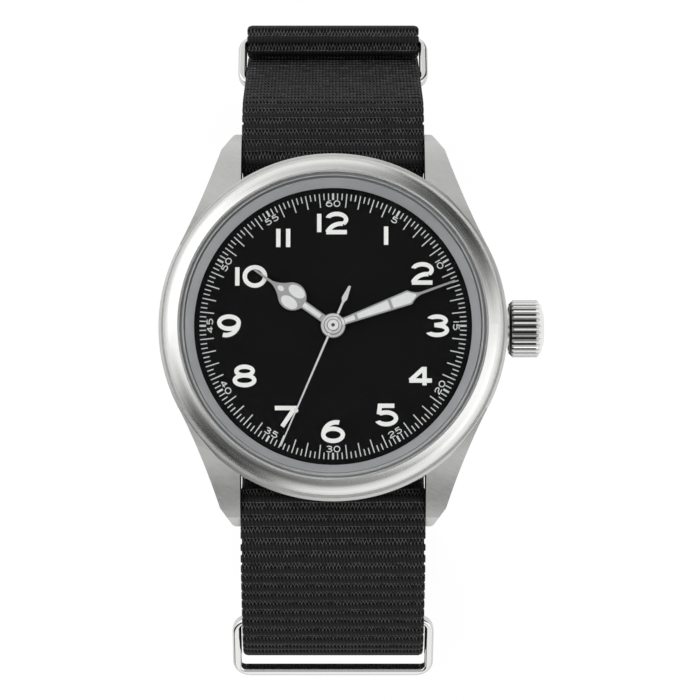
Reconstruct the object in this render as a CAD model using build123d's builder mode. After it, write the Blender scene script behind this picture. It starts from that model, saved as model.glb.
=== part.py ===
from build123d import *
import math
import os

os.makedirs("parts", exist_ok=True)

# A field watch on a ribbed nylon pass-through strap, in millimetres.
# +Z leaves the dial, +Y points to 12 o'clock, +X to 3 o'clock and the crown.
# The strap's closed loop rests on the plane z = 0, straight under the dial's centre.
# Heights of the head are measured from the outer face of the case back.

# Fits shared by many pieces
run_fit = 0.03
slip_fit = 0.05
cut_over = 1.0

# Head: case
back_z = 46.0
case_bore_r = 15.6
case_wall = 3.4
case_top = 7.2
case_foot_in = 1.4
case_wall_z = 2.4
case_edge = 0.3
case_wall_min = 1.15
strap_roof_z = 5.4
lug_play = 0.2
lug_reach = 2.6
lug_tip_w = 0.8
lug_outer_w = 2.2
lug_outer_in = 1.9
lug_waist_w = 4.0
lug_waist_in = 6.9
lug_root_y = 9.0
lug_top_drop = 0.1
lug_top_in = 9.6
lug_arch_in = 4.1
lug_arch_drop = 1.05
lug_facet_in = 0.9
lug_facet_z = 4.5
lug_nose_z = 3.4
lug_bottom_z = 0.7
lug_heel_in = 4.6
lug_heel_z = 1.3
lug_side_round = 0.5
spring_bar_out = 0.35
spring_bar_h = 2.6

# Head: bezel, crystal, ring round the dial
flange_w = 0.6
bezel_wall_h = 1.5
bezel_land = 0.2
bezel_top = 9.7
bezel_arch = 0.1
bezel_lip = 0.4
crystal_over = 0.95
crystal_z = 8.5
crystal_t = 1.6
crystal_chamfer = 0.45
gasket_w = 0.43
rehaut_cover = 0.4
rehaut_glass_lap = 0.55
rehaut_lip = 0.17

# Head: back
back_t = 1.2
back_in = 1.3
back_edge = 0.3
back_rim_w = 1.1
back_rim_h = 0.9
back_seal_r = 0.3
back_notches = 6
back_notch_w = 2.6
back_notch_in = 1.2
back_notch_d = 0.5

# Head: crown and stem
crown_h = 3.8
crown_gap = 0.25
crown_len = 3.55
crown_r = 3.15
crown_flutes = 28
crown_flute_r = 0.25
crown_chamfer = 0.45
crown_dome = 0.25
crown_cap_r = 2.35
crown_bore_r = 2.45
crown_bore_d = 2.2
crown_pull = 1.0
tube_r = 2.05
tube_bore_r = 0.75
tube_shank_r = 1.4
tube_head_out = 1.4
tube_head_in = 0.45
stem_r = 0.5
stem_neck_r = 0.25
stem_neck_w = 0.7
stem_end_x = 6.8
stem_seat = 0.6
stem_room = 0.2

# Dial
dial_play = 0.1
dial_z = 6.6
dial_t = 0.4
dial_hole_r = 0.95
dial_foot_r = 0.4
dial_foot_at_r = 11.5
dial_foot_len = 1.6
dial_foot_angles = (60.0, 240.0)

# Dial printing
print_t = 0.05
lume_t = 0.12
hour_ring_r = 11.3
hour_figure_h = 2.0
hour_figure_w = 2.2
hour_stroke = 0.47
hour_pair_gap = 0.34
hour_ones_gap = 0.6
track_in = 0.6
tick_short = 0.7
tick_long = 1.5
tick_w = 0.11
tick_bold_w = 0.22
minutes = 60
minute_parts = 3
minute_ring_r = 13.38
minute_figure_h = 0.6
minute_figure_w = 0.62
minute_stroke = 0.11
minute_pair_gap = 0.12

# Hands, by height above the back, and where they stand
hour_hand_z = 7.3
hour_hand_t = 0.2
hour_hand_len = 10.5
hour_hub_r = 1.35
hour_head_r = 5.35
hour_head_w = 3.0
hour_stem_w = 0.84
hour_angle = 305.5
minute_hand_z = 7.72
minute_hand_t = 0.16
minute_hand_len = 14.1
minute_hub_r = 1.0
minute_hand_w = 1.6
minute_wide_r = 8.85
minute_neck_r = 10.1
minute_root_w = 0.72
minute_angle = 69.9
seconds_hand_z = 8.06
seconds_hand_t = 0.12
seconds_hand_len = 14.3
seconds_tail_len = 4.6
seconds_hub_r = 0.65
seconds_w = 0.24
seconds_spear_w = 0.62
seconds_dot_r = 0.25
seconds_dot_at_r = 10.1
seconds_angle = 203.3
hour_neck_share = 0.95
hour_shoulder_share = 0.63
hour_hollow_share = 0.27
minute_hollow_share = 0.42
seconds_spear_share = 0.68
seconds_waist_share = 0.86
hand_neck_w = 0.26
hand_rim = 0.17
hand_tip_w = 0.2
arbor_inset = 0.06

# Movement: plates and pillars
movement_r = 13.0
plate_z = 4.4
plate_t = 1.2
bridge_z = 2.3
bridge_t = 0.4
bridge_r = 6.5
bridge_x = -1.2
bridge_y = 0.6
pillar_r = 0.8
pillars = ((4.4, 1.0), (-5.2, 4.4), (0.8, -4.6))
screw_head_r = 0.65
screw_head_h = 0.3
screw_r = 0.35
screw_slot_w = 0.16
screw_slot_d = 0.14
holder_ledge_w = 0.5
holder_ledge_t = 0.4
holder_foot_z = 1.3

# Movement: gears. Teeth run in pairs, a pinion's leaves against a wheel's teeth.
rotor_leaves = 8
fifth_teeth = 48
fifth_leaves = 8
seconds_teeth = 40
seconds_leaves = 8
third_teeth = 60
third_leaves = 8
centre_teeth = 64
cannon_leaves = 12
minute_teeth = 36
minute_leaves = 10
hour_teeth = 40
fifth_distance = 3.6
rotor_distance = 3.22
third_distance = 3.6
minute_distance = 3.4
fifth_direction = 210.0
rotor_direction = 180.0
third_direction = 90.0
minute_direction = -45.0
tooth_tip_share = 0.2
tooth_root_share = 0.44
addendum_share = 0.75
dedendum_share = 1.2
wheel_t = 0.2
pinion_t = 0.35
arbor_r = 0.2
pivot_r = 0.12
pivot_len = 0.3
cannon_bore_r = 0.25
cannon_r = 0.5
cannon_flange_r = 0.72
cannon_flange_t = 0.12
cannon_foot_z = 3.8
hour_pipe_r = 0.8
minute_post_r = 0.3
fifth_wheel_z = 2.85
seconds_wheel_z = 3.15
third_wheel_z = 3.5
centre_wheel_z = 3.95
motion_z = 5.72
hour_wheel_z = 6.12
magnet_r = 0.8
magnet_z = 3.35
magnet_h = 0.7

# Movement: electric and setting parts
stator_w = 2.6
stator_len = 10.5
stator_t = 0.45
stator_z = 3.47
stator_hole_r = 1.0
coil_x = -9.6
coil_r = 0.9
coil_len = 6.8
core_w = 1.1
core_t = 0.5
battery_r = 3.4
battery_h = 2.1
battery_x = 4.5
battery_y = -7.8
battery_z = 1.98
battery_edge = 0.2
clamp_t = 0.18
clamp_w = 2.4
clamp_leg_x = 9.7
clamp_leg_y = -5.4
clamp_leg_w = 1.3
board_r = 12.4
board_edge_y = -5.6
board_t = 0.28
chip_w = 2.2
chip_t = 0.5
chip_x = -3.4
chip_y = -7.2
can_r = 0.75
can_len = 5.2
can_x = -3.4
can_y = -10.0
clutch_x = 7.5
clutch_len = 1.5
clutch_r = 1.0
clutch_teeth = 12
clutch_room = 0.15
lever_x = 10.6
lever_y = 3.4
lever_t = 0.45
lever_hub_r = 0.75
lever_post_r = 0.35
lever_finger_w = 0.3
lever_arm_w = 0.8
lever_reach = 0.3

# Strap: webbing, and the layers it lies in
strap_w = 20.0
strap_t = 1.2
layer_gap = 0.15
wrap_gap = 0.1
sewn_pinch = 0.05
loop_y = 16.2
loop_r = 18.8
shoulder_out = 1.85
shoulder_drop = 1.1
shoulder_r = 5.0
corner_in = 0.9
corner_r = 2.05
near_shoulder_out = 3.45
near_shoulder_r = 6.0
fold_y = 33.8
fold_drop = 6.6
fold_r = 1.5
left_r = 18.5
left_y = 16.8
frame_run_z = 2.5
descend_y = 12.3
descend_r = 3.0
level_y = 6.0
rise_y = 12.0
rise_r = 15.0
tail_end_angle = 42.0
tail_tip = 7.0
tail_tip_w = 9.0
hole_r = 1.25
hole_pitch = 7.5
holes_before = 3
holes_after = 7
fold_end_y = 12.0
slot_w = 1.8
slot_back = 2.3
slot_front = 2.5
bump_angle = 12.0
bump_r = 2.0
flap_start_angle = 38.0
flap_leave_angle = 98.0
flap_bend_r = 4.0
flap_top_in = 1.85
flap_top_r = 3.0
flap_slope_y = 14.0
flap_slope_r = 8.0
flap_sewn_len = 7.0

# Strap fittings: rings of flat rounded stock
ring_play = 0.2
ring_h = 7.2
flap_ring_play = 0.6
flap_ring_h = 8.2
ring_stock = 1.0
ring_depth = 1.3
ring_round = 0.34
ring_corner_r = 2.0
ring_inner_r = 0.4
flap_ring_y = 31.9
flap_ring_z = 40.7
flap_ring_tilt = 38.0
upper_keeper_share = 0.255
upper_keeper_turn = 40.0
lower_keeper_angle = 60.0
lower_keeper_lean = 28.5

# Buckle
pivot_y = -4.0
buckle_bar_r = 0.75
buckle_play = 0.5
buckle_arm_w = 1.55
front_bar_y = 18.0
front_bar_w = 3.0
front_bar_t = 1.6
front_bar_z = 0.1
ear_r = 1.5
notch_w = 1.7
notch_deep_share = 0.55
notch_h = 0.9
front_corner_r = 1.6
arm_bend_y = 14.0
arm_rise = 0.3
tongue_t = 0.8
tongue_w = 1.2
tongue_rise = 0.3
tongue_start = 0.9
tongue_bend_r = 1.2
tongue_bend_y = 9.5
tongue_level_y = 12.9
tongue_tip_y = 17.9
tongue_z = 0.55
tongue_eye_r = 1.45
buckle_round = 0.35

# Stitching
stitch_proud = 0.07
stitch_len = 1.5
stitch_w = 0.4
stitch_pitch = 2.2
stitch_margin = 2.3
fold_stitch_y = (3.2, 10.4)
flap_stitch_angles = (41.0, 46.0)
ring_stitch_at = (6.0, 10.0)

# Spring bars
bar_tube_r = 0.9
bar_bore_r = 0.6
bar_tube_play = 1.2
bar_pin_r = 0.55
bar_pin_len = 3.0
bar_tip_r = 0.38
bar_tip_len = 1.3
bar_spring_wire = 0.18
bar_spring_turns = 9
lug_hole_r = 0.45
lug_hole_d = 1.2

# Values worked out from the ones above
half_t = strap_t / 2
lay = strap_t + layer_gap
case_r = case_bore_r + case_wall
case_foot_r = case_r - case_foot_in
back_r = case_foot_r - back_in
bezel_r = case_r - flange_w
crystal_r = case_bore_r + crystal_over
dial_r = case_bore_r - dial_play
dial_top = dial_z + dial_t
rehaut_low_r = dial_r - rehaut_cover
rehaut_high_r = crystal_r - rehaut_glass_lap
track_r = rehaut_low_r - track_in
crown_x = case_r + crown_gap
lug_gap = strap_w + lug_play
spring_bar_y = case_r + spring_bar_out
bar_tube_len = lug_gap - bar_tube_play
ring_w = strap_w + ring_play + 2 * ring_stock
flap_ring_w = strap_w + flap_ring_play + 2 * ring_stock
buckle_inner_w = strap_w + buckle_play
buckle_w = buckle_inner_w + 2 * buckle_arm_w
section = Plane(origin=(0, 0, back_z), x_dir=(1, 0, 0), z_dir=(0, -1, 0))


def level(height):
    """A plane square to the dial's axis, at a height above the case back."""
    return Plane.XY.offset(back_z + height)


def toward(length, degrees):
    """The point at a length from the origin, turned from the first axis."""
    angle = math.radians(degrees)
    return (length * math.cos(angle), length * math.sin(angle))


def turned(points):
    """A piece turned about the dial's axis from the outline of its half section."""
    with BuildPart() as piece:
        with BuildSketch(section):
            with BuildLine():
                Polyline(*points, close=True)
            make_face()
        revolve(axis=Axis.Z)
    return piece.part


def tangents(stops):
    """The straight runs of a route that turns round each stop on the way.

    A stop is a centre, a radius and a turn: 1 to the left, -1 to the right, 0 for an end.
    Each run is its two ends and its heading.
    """
    runs = []
    for (y1, z1, r1, turn1), (y2, z2, r2, turn2) in zip(stops, stops[1:]):
        gap_y = y2 - y1
        gap_z = z2 - z1
        aside = turn2 * r2 - turn1 * r1
        along = math.sqrt(max(gap_y**2 + gap_z**2 - aside**2, 0))
        heading = math.atan2(gap_z, gap_y) - math.atan2(aside, along)
        left_y = -math.sin(heading)
        left_z = math.cos(heading)
        start = (y1 - turn1 * r1 * left_y, z1 - turn1 * r1 * left_z)
        end = (y2 - turn2 * r2 * left_y, z2 - turn2 * r2 * left_z)
        runs.append((start, end, heading))
    return runs


def moved_left(point, heading, shift):
    """A point moved sideways from its heading."""
    return (point[0] - shift * math.sin(heading), point[1] + shift * math.cos(heading))


def route_edges(stops, shift=0.0):
    """The lines and tangent arcs of a route, all moved to its left by a shift."""
    runs = tangents(stops)
    edges = []
    for index, (start, end, heading) in enumerate(runs):
        first = moved_left(start, heading, shift)
        last = moved_left(end, heading, shift)
        if math.dist(first, last) > 1e-6:
            edges.append(Edge.make_line(first, last))
        if index + 1 < len(runs):
            y, z, radius, turn = stops[index + 1]
            sweep = (runs[index + 1][2] - heading) % (2 * math.pi)
            sweep = sweep if turn > 0 else sweep - 2 * math.pi
            halfway = heading + sweep / 2
            reach = turn * radius - shift
            middle = moved_left((y, z), halfway, -reach)
            after = moved_left(runs[index + 1][0], runs[index + 1][2], shift)
            if abs(sweep) > 1e-6 and math.dist(last, after) > 1e-6:
                edges.append(Edge.make_three_point_arc(last, middle, after))
    return edges


def band_face(stops, thickness):
    """The side view of a band of even thickness along a route."""
    left = route_edges(stops, thickness / 2)
    right = route_edges(stops, -thickness / 2)
    caps = [
        Edge.make_line(left[0] @ 0, right[0] @ 0),
        Edge.make_line(left[-1] @ 1, right[-1] @ 1),
    ]
    with BuildSketch() as face:
        with BuildLine():
            add(left + right + caps)
        make_face()
    return face.sketch


def gear_face(teeth, distance, mate_teeth, tooth_direction):
    """A gear's outline, with a tooth centred on one direction.

    Its module follows from the distance to its mate and both tooth counts.
    """
    module = 2 * distance / (teeth + mate_teeth)
    pitch_r = module * teeth / 2
    tip_r = pitch_r + addendum_share * module
    root_r = pitch_r - dedendum_share * module
    pitch_angle = 360 / teeth
    points = []
    for tooth in range(teeth):
        centre = tooth_direction + tooth * pitch_angle
        points.append(toward(root_r, centre - tooth_root_share / 2 * pitch_angle))
        points.append(toward(tip_r, centre - tooth_tip_share / 2 * pitch_angle))
        points.append(toward(tip_r, centre + tooth_tip_share / 2 * pitch_angle))
        points.append(toward(root_r, centre + tooth_root_share / 2 * pitch_angle))
    with BuildSketch() as face:
        with BuildLine():
            Polyline(*points, close=True)
        make_face()
    return face.sketch


# Figures are strokes on a unit box about its centre, in shares of a figure's width and height.
# A ring gives its centre and half sizes, an oval also where it starts and how far it goes.
# The round ends at a path's corners are a hair wider than its stroke.
corner_share = 0.51
figure_shares = {
    "0": [("ring", 0, 0, 0.5, 0.5)],
    "1": [("path", (0, -0.5), (0, 0.5))],
    "2": [
        ("oval", 0, 0.19, 0.46, 0.31, -48, 210),
        ("arc", (0.3078, -0.0404), (-0.26, -0.22), (-0.47, -0.5)),
        ("path", (-0.52, -0.5), (0.5, -0.5)),
    ],
    "3": [
        ("oval", 0, 0.28, 0.42, 0.22, -90, 240),
        ("path", (-0.14, 0.04), (0.08, 0.04)),
        ("oval", 0, -0.24, 0.48, 0.26, -152, 242),
    ],
    "4": [
        ("path", (0.19, -0.5), (0.19, 0.5)),
        ("path", (0.14, 0.42), (-0.52, -0.24)),
        ("path", (-0.56, -0.24), (0.55, -0.24)),
    ],
    "5": [
        ("path", (0.4, 0.5), (-0.31, 0.5), (-0.36, 0.04)),
        ("oval", 0, -0.18, 0.48, 0.32, -152, 291),
    ],
    "6": [
        ("ring", 0, -0.17, 0.48, 0.33),
        ("arc", (-0.48, -0.17), (-0.3, 0.3), (0.3, 0.49)),
    ],
    "7": [("path", (-0.5, 0.5), (0.47, 0.5), (-0.14, -0.5))],
    "8": [("ring", 0, 0.265, 0.4, 0.235), ("ring", 0, -0.235, 0.48, 0.265)],
    "9": [
        ("ring", 0, 0.17, 0.48, 0.33),
        ("arc", (0.48, 0.17), (0.3, -0.3), (-0.3, -0.49)),
    ],
}


# Where each hour's figures stand, in shares of the hour ring's radius: to 3 o'clock, to 12 o'clock
hour_place_shares = {
    1: (0.511, 0.872),
    2: (0.859, 0.506),
    3: (1.0, 0.0),
    4: (0.84, -0.485),
    5: (0.509, -0.858),
    6: (0.0, -1.018),
    7: (-0.46, -0.88),
    8: (-0.849, -0.483),
    9: (-1.0, 0.0),
    10: (-0.788, 0.477),
    11: (-0.48, 0.85),
    12: (0.0, 0.995),
}


def oval_face(cx, cy, rx, ry, stroke, first=0, arc=360):
    """An oval ring drawn in one even stroke, or the part of it from one angle over an arc."""
    with BuildSketch() as face:
        with Locations((cx, cy)):
            Ellipse(rx + stroke / 2, ry + stroke / 2)
            Ellipse(rx - stroke / 2, ry - stroke / 2, mode=Mode.SUBTRACT)
        if arc < 360:
            fan = [(cx, cy)]
            for step in range(5):
                angle = math.radians(first + arc + step * (360 - arc) / 4)
                reach = 2 + stroke / min(rx, ry)
                fan.append((cx + reach * rx * math.cos(angle), cy + reach * ry * math.sin(angle)))
            with BuildLine():
                Polyline(*fan, close=True)
            make_face(mode=Mode.SUBTRACT)
    return face.sketch


def stroke_face(kind, shares, middle, width, height, stroke):
    """One stroke of a figure: an oval or part of it, an arc or a path with round corners."""
    if kind in ("ring", "oval"):
        cx, cy, rx, ry, *span = shares
        sizes = (middle + cx * width, cy * height, rx * width, ry * height)
        return oval_face(*sizes, stroke, *span)
    with BuildSketch() as face:
        with BuildLine() as line:
            if kind == "arc":
                ThreePointArc(*[(middle + x * width, y * height) for x, y in shares])
            else:
                Polyline(*[(middle + x * width, y * height) for x, y in shares])
        trace(line.edges(), line_width=stroke)
        if kind == "path" and len(shares) > 2:
            with Locations(*[(middle + x * width, y * height) for x, y in shares[1:-1]]):
                Circle(corner_share * stroke)
    return face.sketch


def figure_face(digits, width, height, stroke, gap):
    """A number drawn in even strokes, centred on the origin."""
    widths = [stroke if digit == "1" else width + stroke for digit in digits]
    left = -(sum(widths) + gap * (len(digits) - 1)) / 2
    with BuildSketch() as face:
        for digit, wide in zip(digits, widths):
            middle = left + wide / 2
            left += wide + gap
            for kind, *shares in figure_shares[digit]:
                add(stroke_face(kind, shares, middle, width, height, stroke))
    return face.sketch


# Case body: a turned wall, four lugs cut from one blank per side, and room for the strap
lug_tip_y = case_r + lug_reach
lug_tip_x = lug_gap / 2 + lug_tip_w
lug_outer = (lug_gap / 2 + lug_outer_w, lug_tip_y - lug_outer_in)
lug_waist = (lug_gap / 2 + lug_waist_w, lug_tip_y - lug_waist_in)
lug_root_x = math.sqrt(case_r**2 - lug_root_y**2) - case_edge / 10
lug_top_z = case_top - lug_top_drop
with BuildPart() as lug_pair:
    with BuildSketch(level(0)):
        with BuildLine():
            Polyline(
                (-lug_outer[0], lug_outer[1]),
                (-lug_tip_x, lug_tip_y),
                (lug_tip_x, lug_tip_y),
                lug_outer,
            )
            ThreePointArc(lug_outer, lug_waist, (lug_root_x, lug_root_y))
            Line((lug_root_x, lug_root_y), (-lug_root_x, lug_root_y))
            ThreePointArc(
                (-lug_root_x, lug_root_y), (-lug_waist[0], lug_waist[1]), (-lug_outer[0], lug_outer[1])
            )
        make_face()
    extrude(amount=case_top)
    fillet(
        lug_pair.edges().filter_by(Axis.Z).group_by(Axis.Y)[-1],
        radius=lug_side_round,
    )
    with BuildSketch(Plane.YZ.offset(-case_r)):
        with BuildLine():
            facet = (lug_tip_y - lug_facet_in, back_z + lug_facet_z)
            top_root = (lug_tip_y - lug_top_in, back_z + lug_top_z)
            Polyline(
                top_root,
                (lug_root_y - cut_over, back_z + lug_top_z),
                (lug_root_y - cut_over, back_z + lug_heel_z),
                (lug_tip_y - lug_heel_in, back_z + lug_heel_z),
                (lug_tip_y - case_edge, back_z + lug_bottom_z),
                (lug_tip_y + cut_over, back_z + lug_nose_z - cut_over),
                (lug_tip_y + case_edge, back_z + lug_nose_z),
                facet,
            )
            ThreePointArc(
                facet,
                (lug_tip_y - lug_arch_in, back_z + lug_top_z - lug_arch_drop),
                top_root,
            )
        make_face()
    extrude(amount=2 * case_r, mode=Mode.INTERSECT)
    with BuildSketch(level(0)):
        with Locations((0, lug_tip_y)):
            Rectangle(lug_gap, 2 * (lug_tip_y - lug_root_y) + cut_over)
    extrude(amount=case_top, mode=Mode.SUBTRACT)

with BuildPart() as mid_case:
    add(
        turned(
            [
                (case_bore_r, back_t),
                (case_foot_r, back_t),
                (case_r - case_edge, case_wall_z),
                (case_r, case_wall_z + case_edge),
                (case_r, case_top - case_edge),
                (case_r - case_edge, case_top),
                (case_bore_r, case_top),
            ]
        )
    )
    add(lug_pair.part)
    add(mirror(lug_pair.part, about=Plane.XZ, mode=Mode.PRIVATE))
    for side in (1, -1):
        with BuildSketch(Plane.YZ.offset(-lug_gap / 2)):
            with BuildLine():
                inner_y = case_bore_r + case_wall_min
                Polyline(
                    (side * inner_y, back_z - cut_over),
                    (side * inner_y, back_z + strap_roof_z - case_wall_min),
                    (side * case_r, back_z + strap_roof_z),
                    (side * lug_tip_y, back_z + strap_roof_z),
                    (side * lug_tip_y, back_z - cut_over),
                    close=True,
                )
            make_face()
        extrude(amount=lug_gap, mode=Mode.SUBTRACT)
    with BuildSketch(level(back_t)):
        Circle(case_bore_r)
    extrude(amount=case_top, mode=Mode.SUBTRACT)
    with BuildSketch(Plane.YZ.offset(-lug_gap / 2 - lug_hole_d)):
        with Locations((spring_bar_y, back_z + spring_bar_h)):
            Circle(lug_hole_r)
        with Locations((-spring_bar_y, back_z + spring_bar_h)):
            Circle(lug_hole_r)
    extrude(amount=lug_gap + 2 * lug_hole_d, mode=Mode.SUBTRACT)
    with BuildSketch(Plane.YZ.offset(case_bore_r - cut_over)):
        with Locations((0, back_z + crown_h)):
            Circle(tube_shank_r)
    extrude(amount=case_r, mode=Mode.SUBTRACT)
    with BuildSketch(Plane.YZ.offset(case_r - tube_head_in)):
        with Locations((0, back_z + crown_h)):
            Circle(tube_r)
    extrude(amount=case_r, mode=Mode.SUBTRACT)
mid_case.part.label = "mid_case"
export_step(mid_case.part, "parts/mid_case.step")

# Bezel, with a convex top between its wall and a narrow land at the glass
gasket_r = crystal_r + gasket_w + slip_fit
with BuildPart() as bezel:
    with BuildSketch(section):
        with BuildLine():
            wall_top = (bezel_r, case_top + bezel_wall_h)
            land = (crystal_r + slip_fit + bezel_land, bezel_top)
            crest = (
                (wall_top[0] + land[0]) / 2 + bezel_arch,
                (wall_top[1] + land[1]) / 2 + bezel_arch,
            )
            Polyline(
                land,
                (crystal_r + slip_fit, bezel_top),
                (crystal_r + slip_fit, bezel_top - bezel_lip),
                (gasket_r, bezel_top - bezel_lip),
                (gasket_r, case_top),
                (bezel_r, case_top),
                wall_top,
            )
            ThreePointArc(wall_top, crest, land)
        make_face()
    revolve(axis=Axis.Z)
bezel.part.label = "bezel"
export_step(bezel.part, "parts/bezel.step")

with BuildPart() as crystal:
    with BuildSketch(level(crystal_z)):
        Circle(crystal_r)
    extrude(amount=crystal_t)
    chamfer(crystal.faces().sort_by(Axis.Z)[-1].edges(), length=crystal_chamfer)
crystal.part.label = "crystal"
export_step(crystal.part, "parts/crystal.step")

with BuildPart() as crystal_gasket:
    with BuildSketch(level(crystal_z + slip_fit)):
        Circle(gasket_r - slip_fit / 2)
        Circle(crystal_r + slip_fit / 2, mode=Mode.SUBTRACT)
    extrude(amount=bezel_top - bezel_lip - crystal_z - 2 * slip_fit)
crystal_gasket.part.label = "crystal_gasket"
export_step(crystal_gasket.part, "parts/crystal_gasket.step")

with BuildPart() as rehaut_ring:
    add(
        turned(
            [
                (rehaut_low_r, case_top - rehaut_lip),
                (case_bore_r - slip_fit, case_top - rehaut_lip),
                (case_bore_r - slip_fit, case_top),
                (gasket_r - slip_fit, case_top),
                (gasket_r - slip_fit, crystal_z),
                (rehaut_high_r, crystal_z),
            ]
        )
    )
rehaut_ring.part.label = "rehaut_ring"
export_step(rehaut_ring.part, "parts/rehaut_ring.step")

# Case back: a disc with wrench notches, and a rim in the bore that carries its seal
seal_z = back_t + back_rim_h / 2
rim_r = case_bore_r - slip_fit
with BuildPart() as case_back:
    add(
        turned(
            [
                (0, 0),
                (back_r - back_edge, 0),
                (back_r, back_edge),
                (back_r, back_t),
                (rim_r, back_t),
                (rim_r, back_t + back_rim_h),
                (rim_r - back_rim_w, back_t + back_rim_h),
                (rim_r - back_rim_w, back_t),
                (0, back_t),
            ]
        )
    )
    with BuildSketch(level(0)):
        with PolarLocations(back_r, back_notches, start_angle=90 / back_notches):
            Rectangle(2 * back_notch_in, back_notch_w)
    extrude(amount=back_notch_d, mode=Mode.SUBTRACT)
    with BuildSketch(section):
        with Locations((rim_r, seal_z)):
            Circle(back_seal_r + slip_fit / 2)
    revolve(axis=Axis.Z, mode=Mode.SUBTRACT)
case_back.part.label = "case_back"
export_step(case_back.part, "parts/case_back.step")

with BuildPart() as case_back_gasket:
    with BuildSketch(section):
        with Locations((rim_r - slip_fit / 2, seal_z)):
            Circle(back_seal_r)
        with Locations((case_bore_r + case_r / 2, seal_z)):
            Rectangle(case_r, case_r, mode=Mode.SUBTRACT)
    revolve(axis=Axis.Z)
case_back_gasket.part.label = "case_back_gasket"
export_step(case_back_gasket.part, "parts/case_back_gasket.step")

# Crown group: tube in the case, crown with its seal, stem into the movement
tube_end_x = crown_x + tube_head_out
crown_floor_x = crown_x + crown_bore_d
crown_seal_r = (crown_bore_r - tube_r) / 2
seal_x = crown_x + crown_seal_r + slip_fit


def crown_disc(x):
    """A plane across the crown's axis, at a distance from the dial's axis."""
    return Plane(origin=(x, 0, back_z + crown_h), x_dir=(0, 1, 0), z_dir=(1, 0, 0))


with BuildPart() as crown_tube:
    with BuildSketch(crown_disc(case_bore_r - slip_fit)):
        Circle(tube_shank_r)
    extrude(amount=case_r - tube_head_in - case_bore_r + slip_fit)
    with BuildSketch(crown_disc(case_r - tube_head_in)):
        Circle(tube_r)
    extrude(amount=tube_end_x - case_r + tube_head_in)
    with BuildSketch(crown_disc(case_bore_r - cut_over)):
        Circle(tube_bore_r)
    extrude(amount=case_r, mode=Mode.SUBTRACT)
crown_tube.part.label = "crown_tube"
export_step(crown_tube.part, "parts/crown_tube.step")

with BuildPart() as crown:
    with BuildSketch(crown_disc(crown_x)):
        Circle(crown_r)
    extrude(amount=crown_len)
    chamfer(
        crown.edges().filter_by(GeomType.CIRCLE).sort_by(Axis.X)[0],
        length=crown_chamfer,
    )
    chamfer(
        crown.edges().filter_by(GeomType.CIRCLE).sort_by(Axis.X)[-1],
        length=crown_chamfer,
    )
    with BuildSketch(crown_disc(crown_x - cut_over)):
        with PolarLocations(crown_r, crown_flutes):
            Circle(crown_flute_r)
    extrude(amount=crown_len + 2 * cut_over, mode=Mode.SUBTRACT)
    with BuildSketch(crown_disc(crown_x + crown_len)):
        Circle(crown_cap_r)
    extrude(amount=crown_dome, taper=math.degrees(math.atan(crown_chamfer / crown_dome)))
    with BuildSketch(crown_disc(crown_x)):
        Circle(crown_bore_r)
    extrude(amount=crown_bore_d, mode=Mode.SUBTRACT)
    with BuildSketch(crown_disc(crown_floor_x)):
        Circle(stem_r)
    extrude(amount=stem_seat, mode=Mode.SUBTRACT)
crown.part.label = "crown"
export_step(crown.part, "parts/crown.step")

with BuildPart() as crown_gasket:
    with BuildSketch(Plane.XZ):
        with Locations((seal_x, back_z + crown_h + tube_r + crown_seal_r)):
            Circle(crown_seal_r - run_fit / 2)
    revolve(axis=Axis((0, 0, back_z + crown_h), (1, 0, 0)))
crown_gasket.part.label = "crown_gasket"
export_step(crown_gasket.part, "parts/crown_gasket.step")

with BuildPart() as stem:
    with BuildSketch(crown_disc(stem_end_x)):
        Circle(stem_r)
    extrude(amount=crown_floor_x + stem_seat - stem_end_x)
    with BuildSketch(crown_disc(lever_x - stem_neck_w / 2)):
        Circle(stem_r + cut_over)
        Circle(stem_neck_r, mode=Mode.SUBTRACT)
    extrude(amount=stem_neck_w, mode=Mode.SUBTRACT)
stem.part.label = "stem"
export_step(stem.part, "parts/stem.step")

with BuildPart() as clutch_wheel:
    with BuildSketch(crown_disc(clutch_x)):
        Circle(clutch_r)
        with PolarLocations(clutch_r, clutch_teeth):
            Circle(clutch_r / clutch_teeth, mode=Mode.SUBTRACT)
        Circle(stem_r + run_fit, mode=Mode.SUBTRACT)
    extrude(amount=clutch_len)
clutch_wheel.part.label = "clutch_wheel"
export_step(clutch_wheel.part, "parts/clutch_wheel.step")

# Dial with two feet, and what is printed or raised on it
dial_feet = [toward(dial_foot_at_r, angle) for angle in dial_foot_angles]
with BuildPart() as dial:
    with BuildSketch(level(dial_z)):
        Circle(dial_r)
        Circle(dial_hole_r, mode=Mode.SUBTRACT)
    extrude(amount=dial_t)
    with BuildSketch(level(dial_z)):
        with Locations(*dial_feet):
            Circle(dial_foot_r)
    extrude(amount=-dial_foot_len)
dial.part.label = "dial"
export_step(dial.part, "parts/dial.step")

with BuildPart() as dial_numerals:
    for hour, (right_share, up_share) in hour_place_shares.items():
        gap = hour_ones_gap if hour == 11 else hour_pair_gap
        with BuildSketch(level(dial_top)):
            with Locations((right_share * hour_ring_r, up_share * hour_ring_r)):
                add(figure_face(str(hour), hour_figure_w, hour_figure_h, hour_stroke, gap))
        extrude(amount=lume_t)
dial_numerals.part.label = "dial_numerals"
export_step(dial_numerals.part, "parts/dial_numerals.step")

with BuildPart() as dial_minute_track:
    with BuildSketch(level(dial_top)):
        ticks = minutes * minute_parts
        for tick in range(ticks):
            five = tick % (5 * minute_parts) == 0
            whole = tick % minute_parts == 0 and not five
            length = tick_long if whole else tick_short
            width = tick_bold_w if five else tick_w
            angle = 90 - 360 * tick / ticks
            with Locations(Location((*toward(track_r - length / 2, angle), 0), angle)):
                Rectangle(length, width)
    extrude(amount=print_t)
dial_minute_track.part.label = "dial_minute_track"
export_step(dial_minute_track.part, "parts/dial_minute_track.step")

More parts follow.
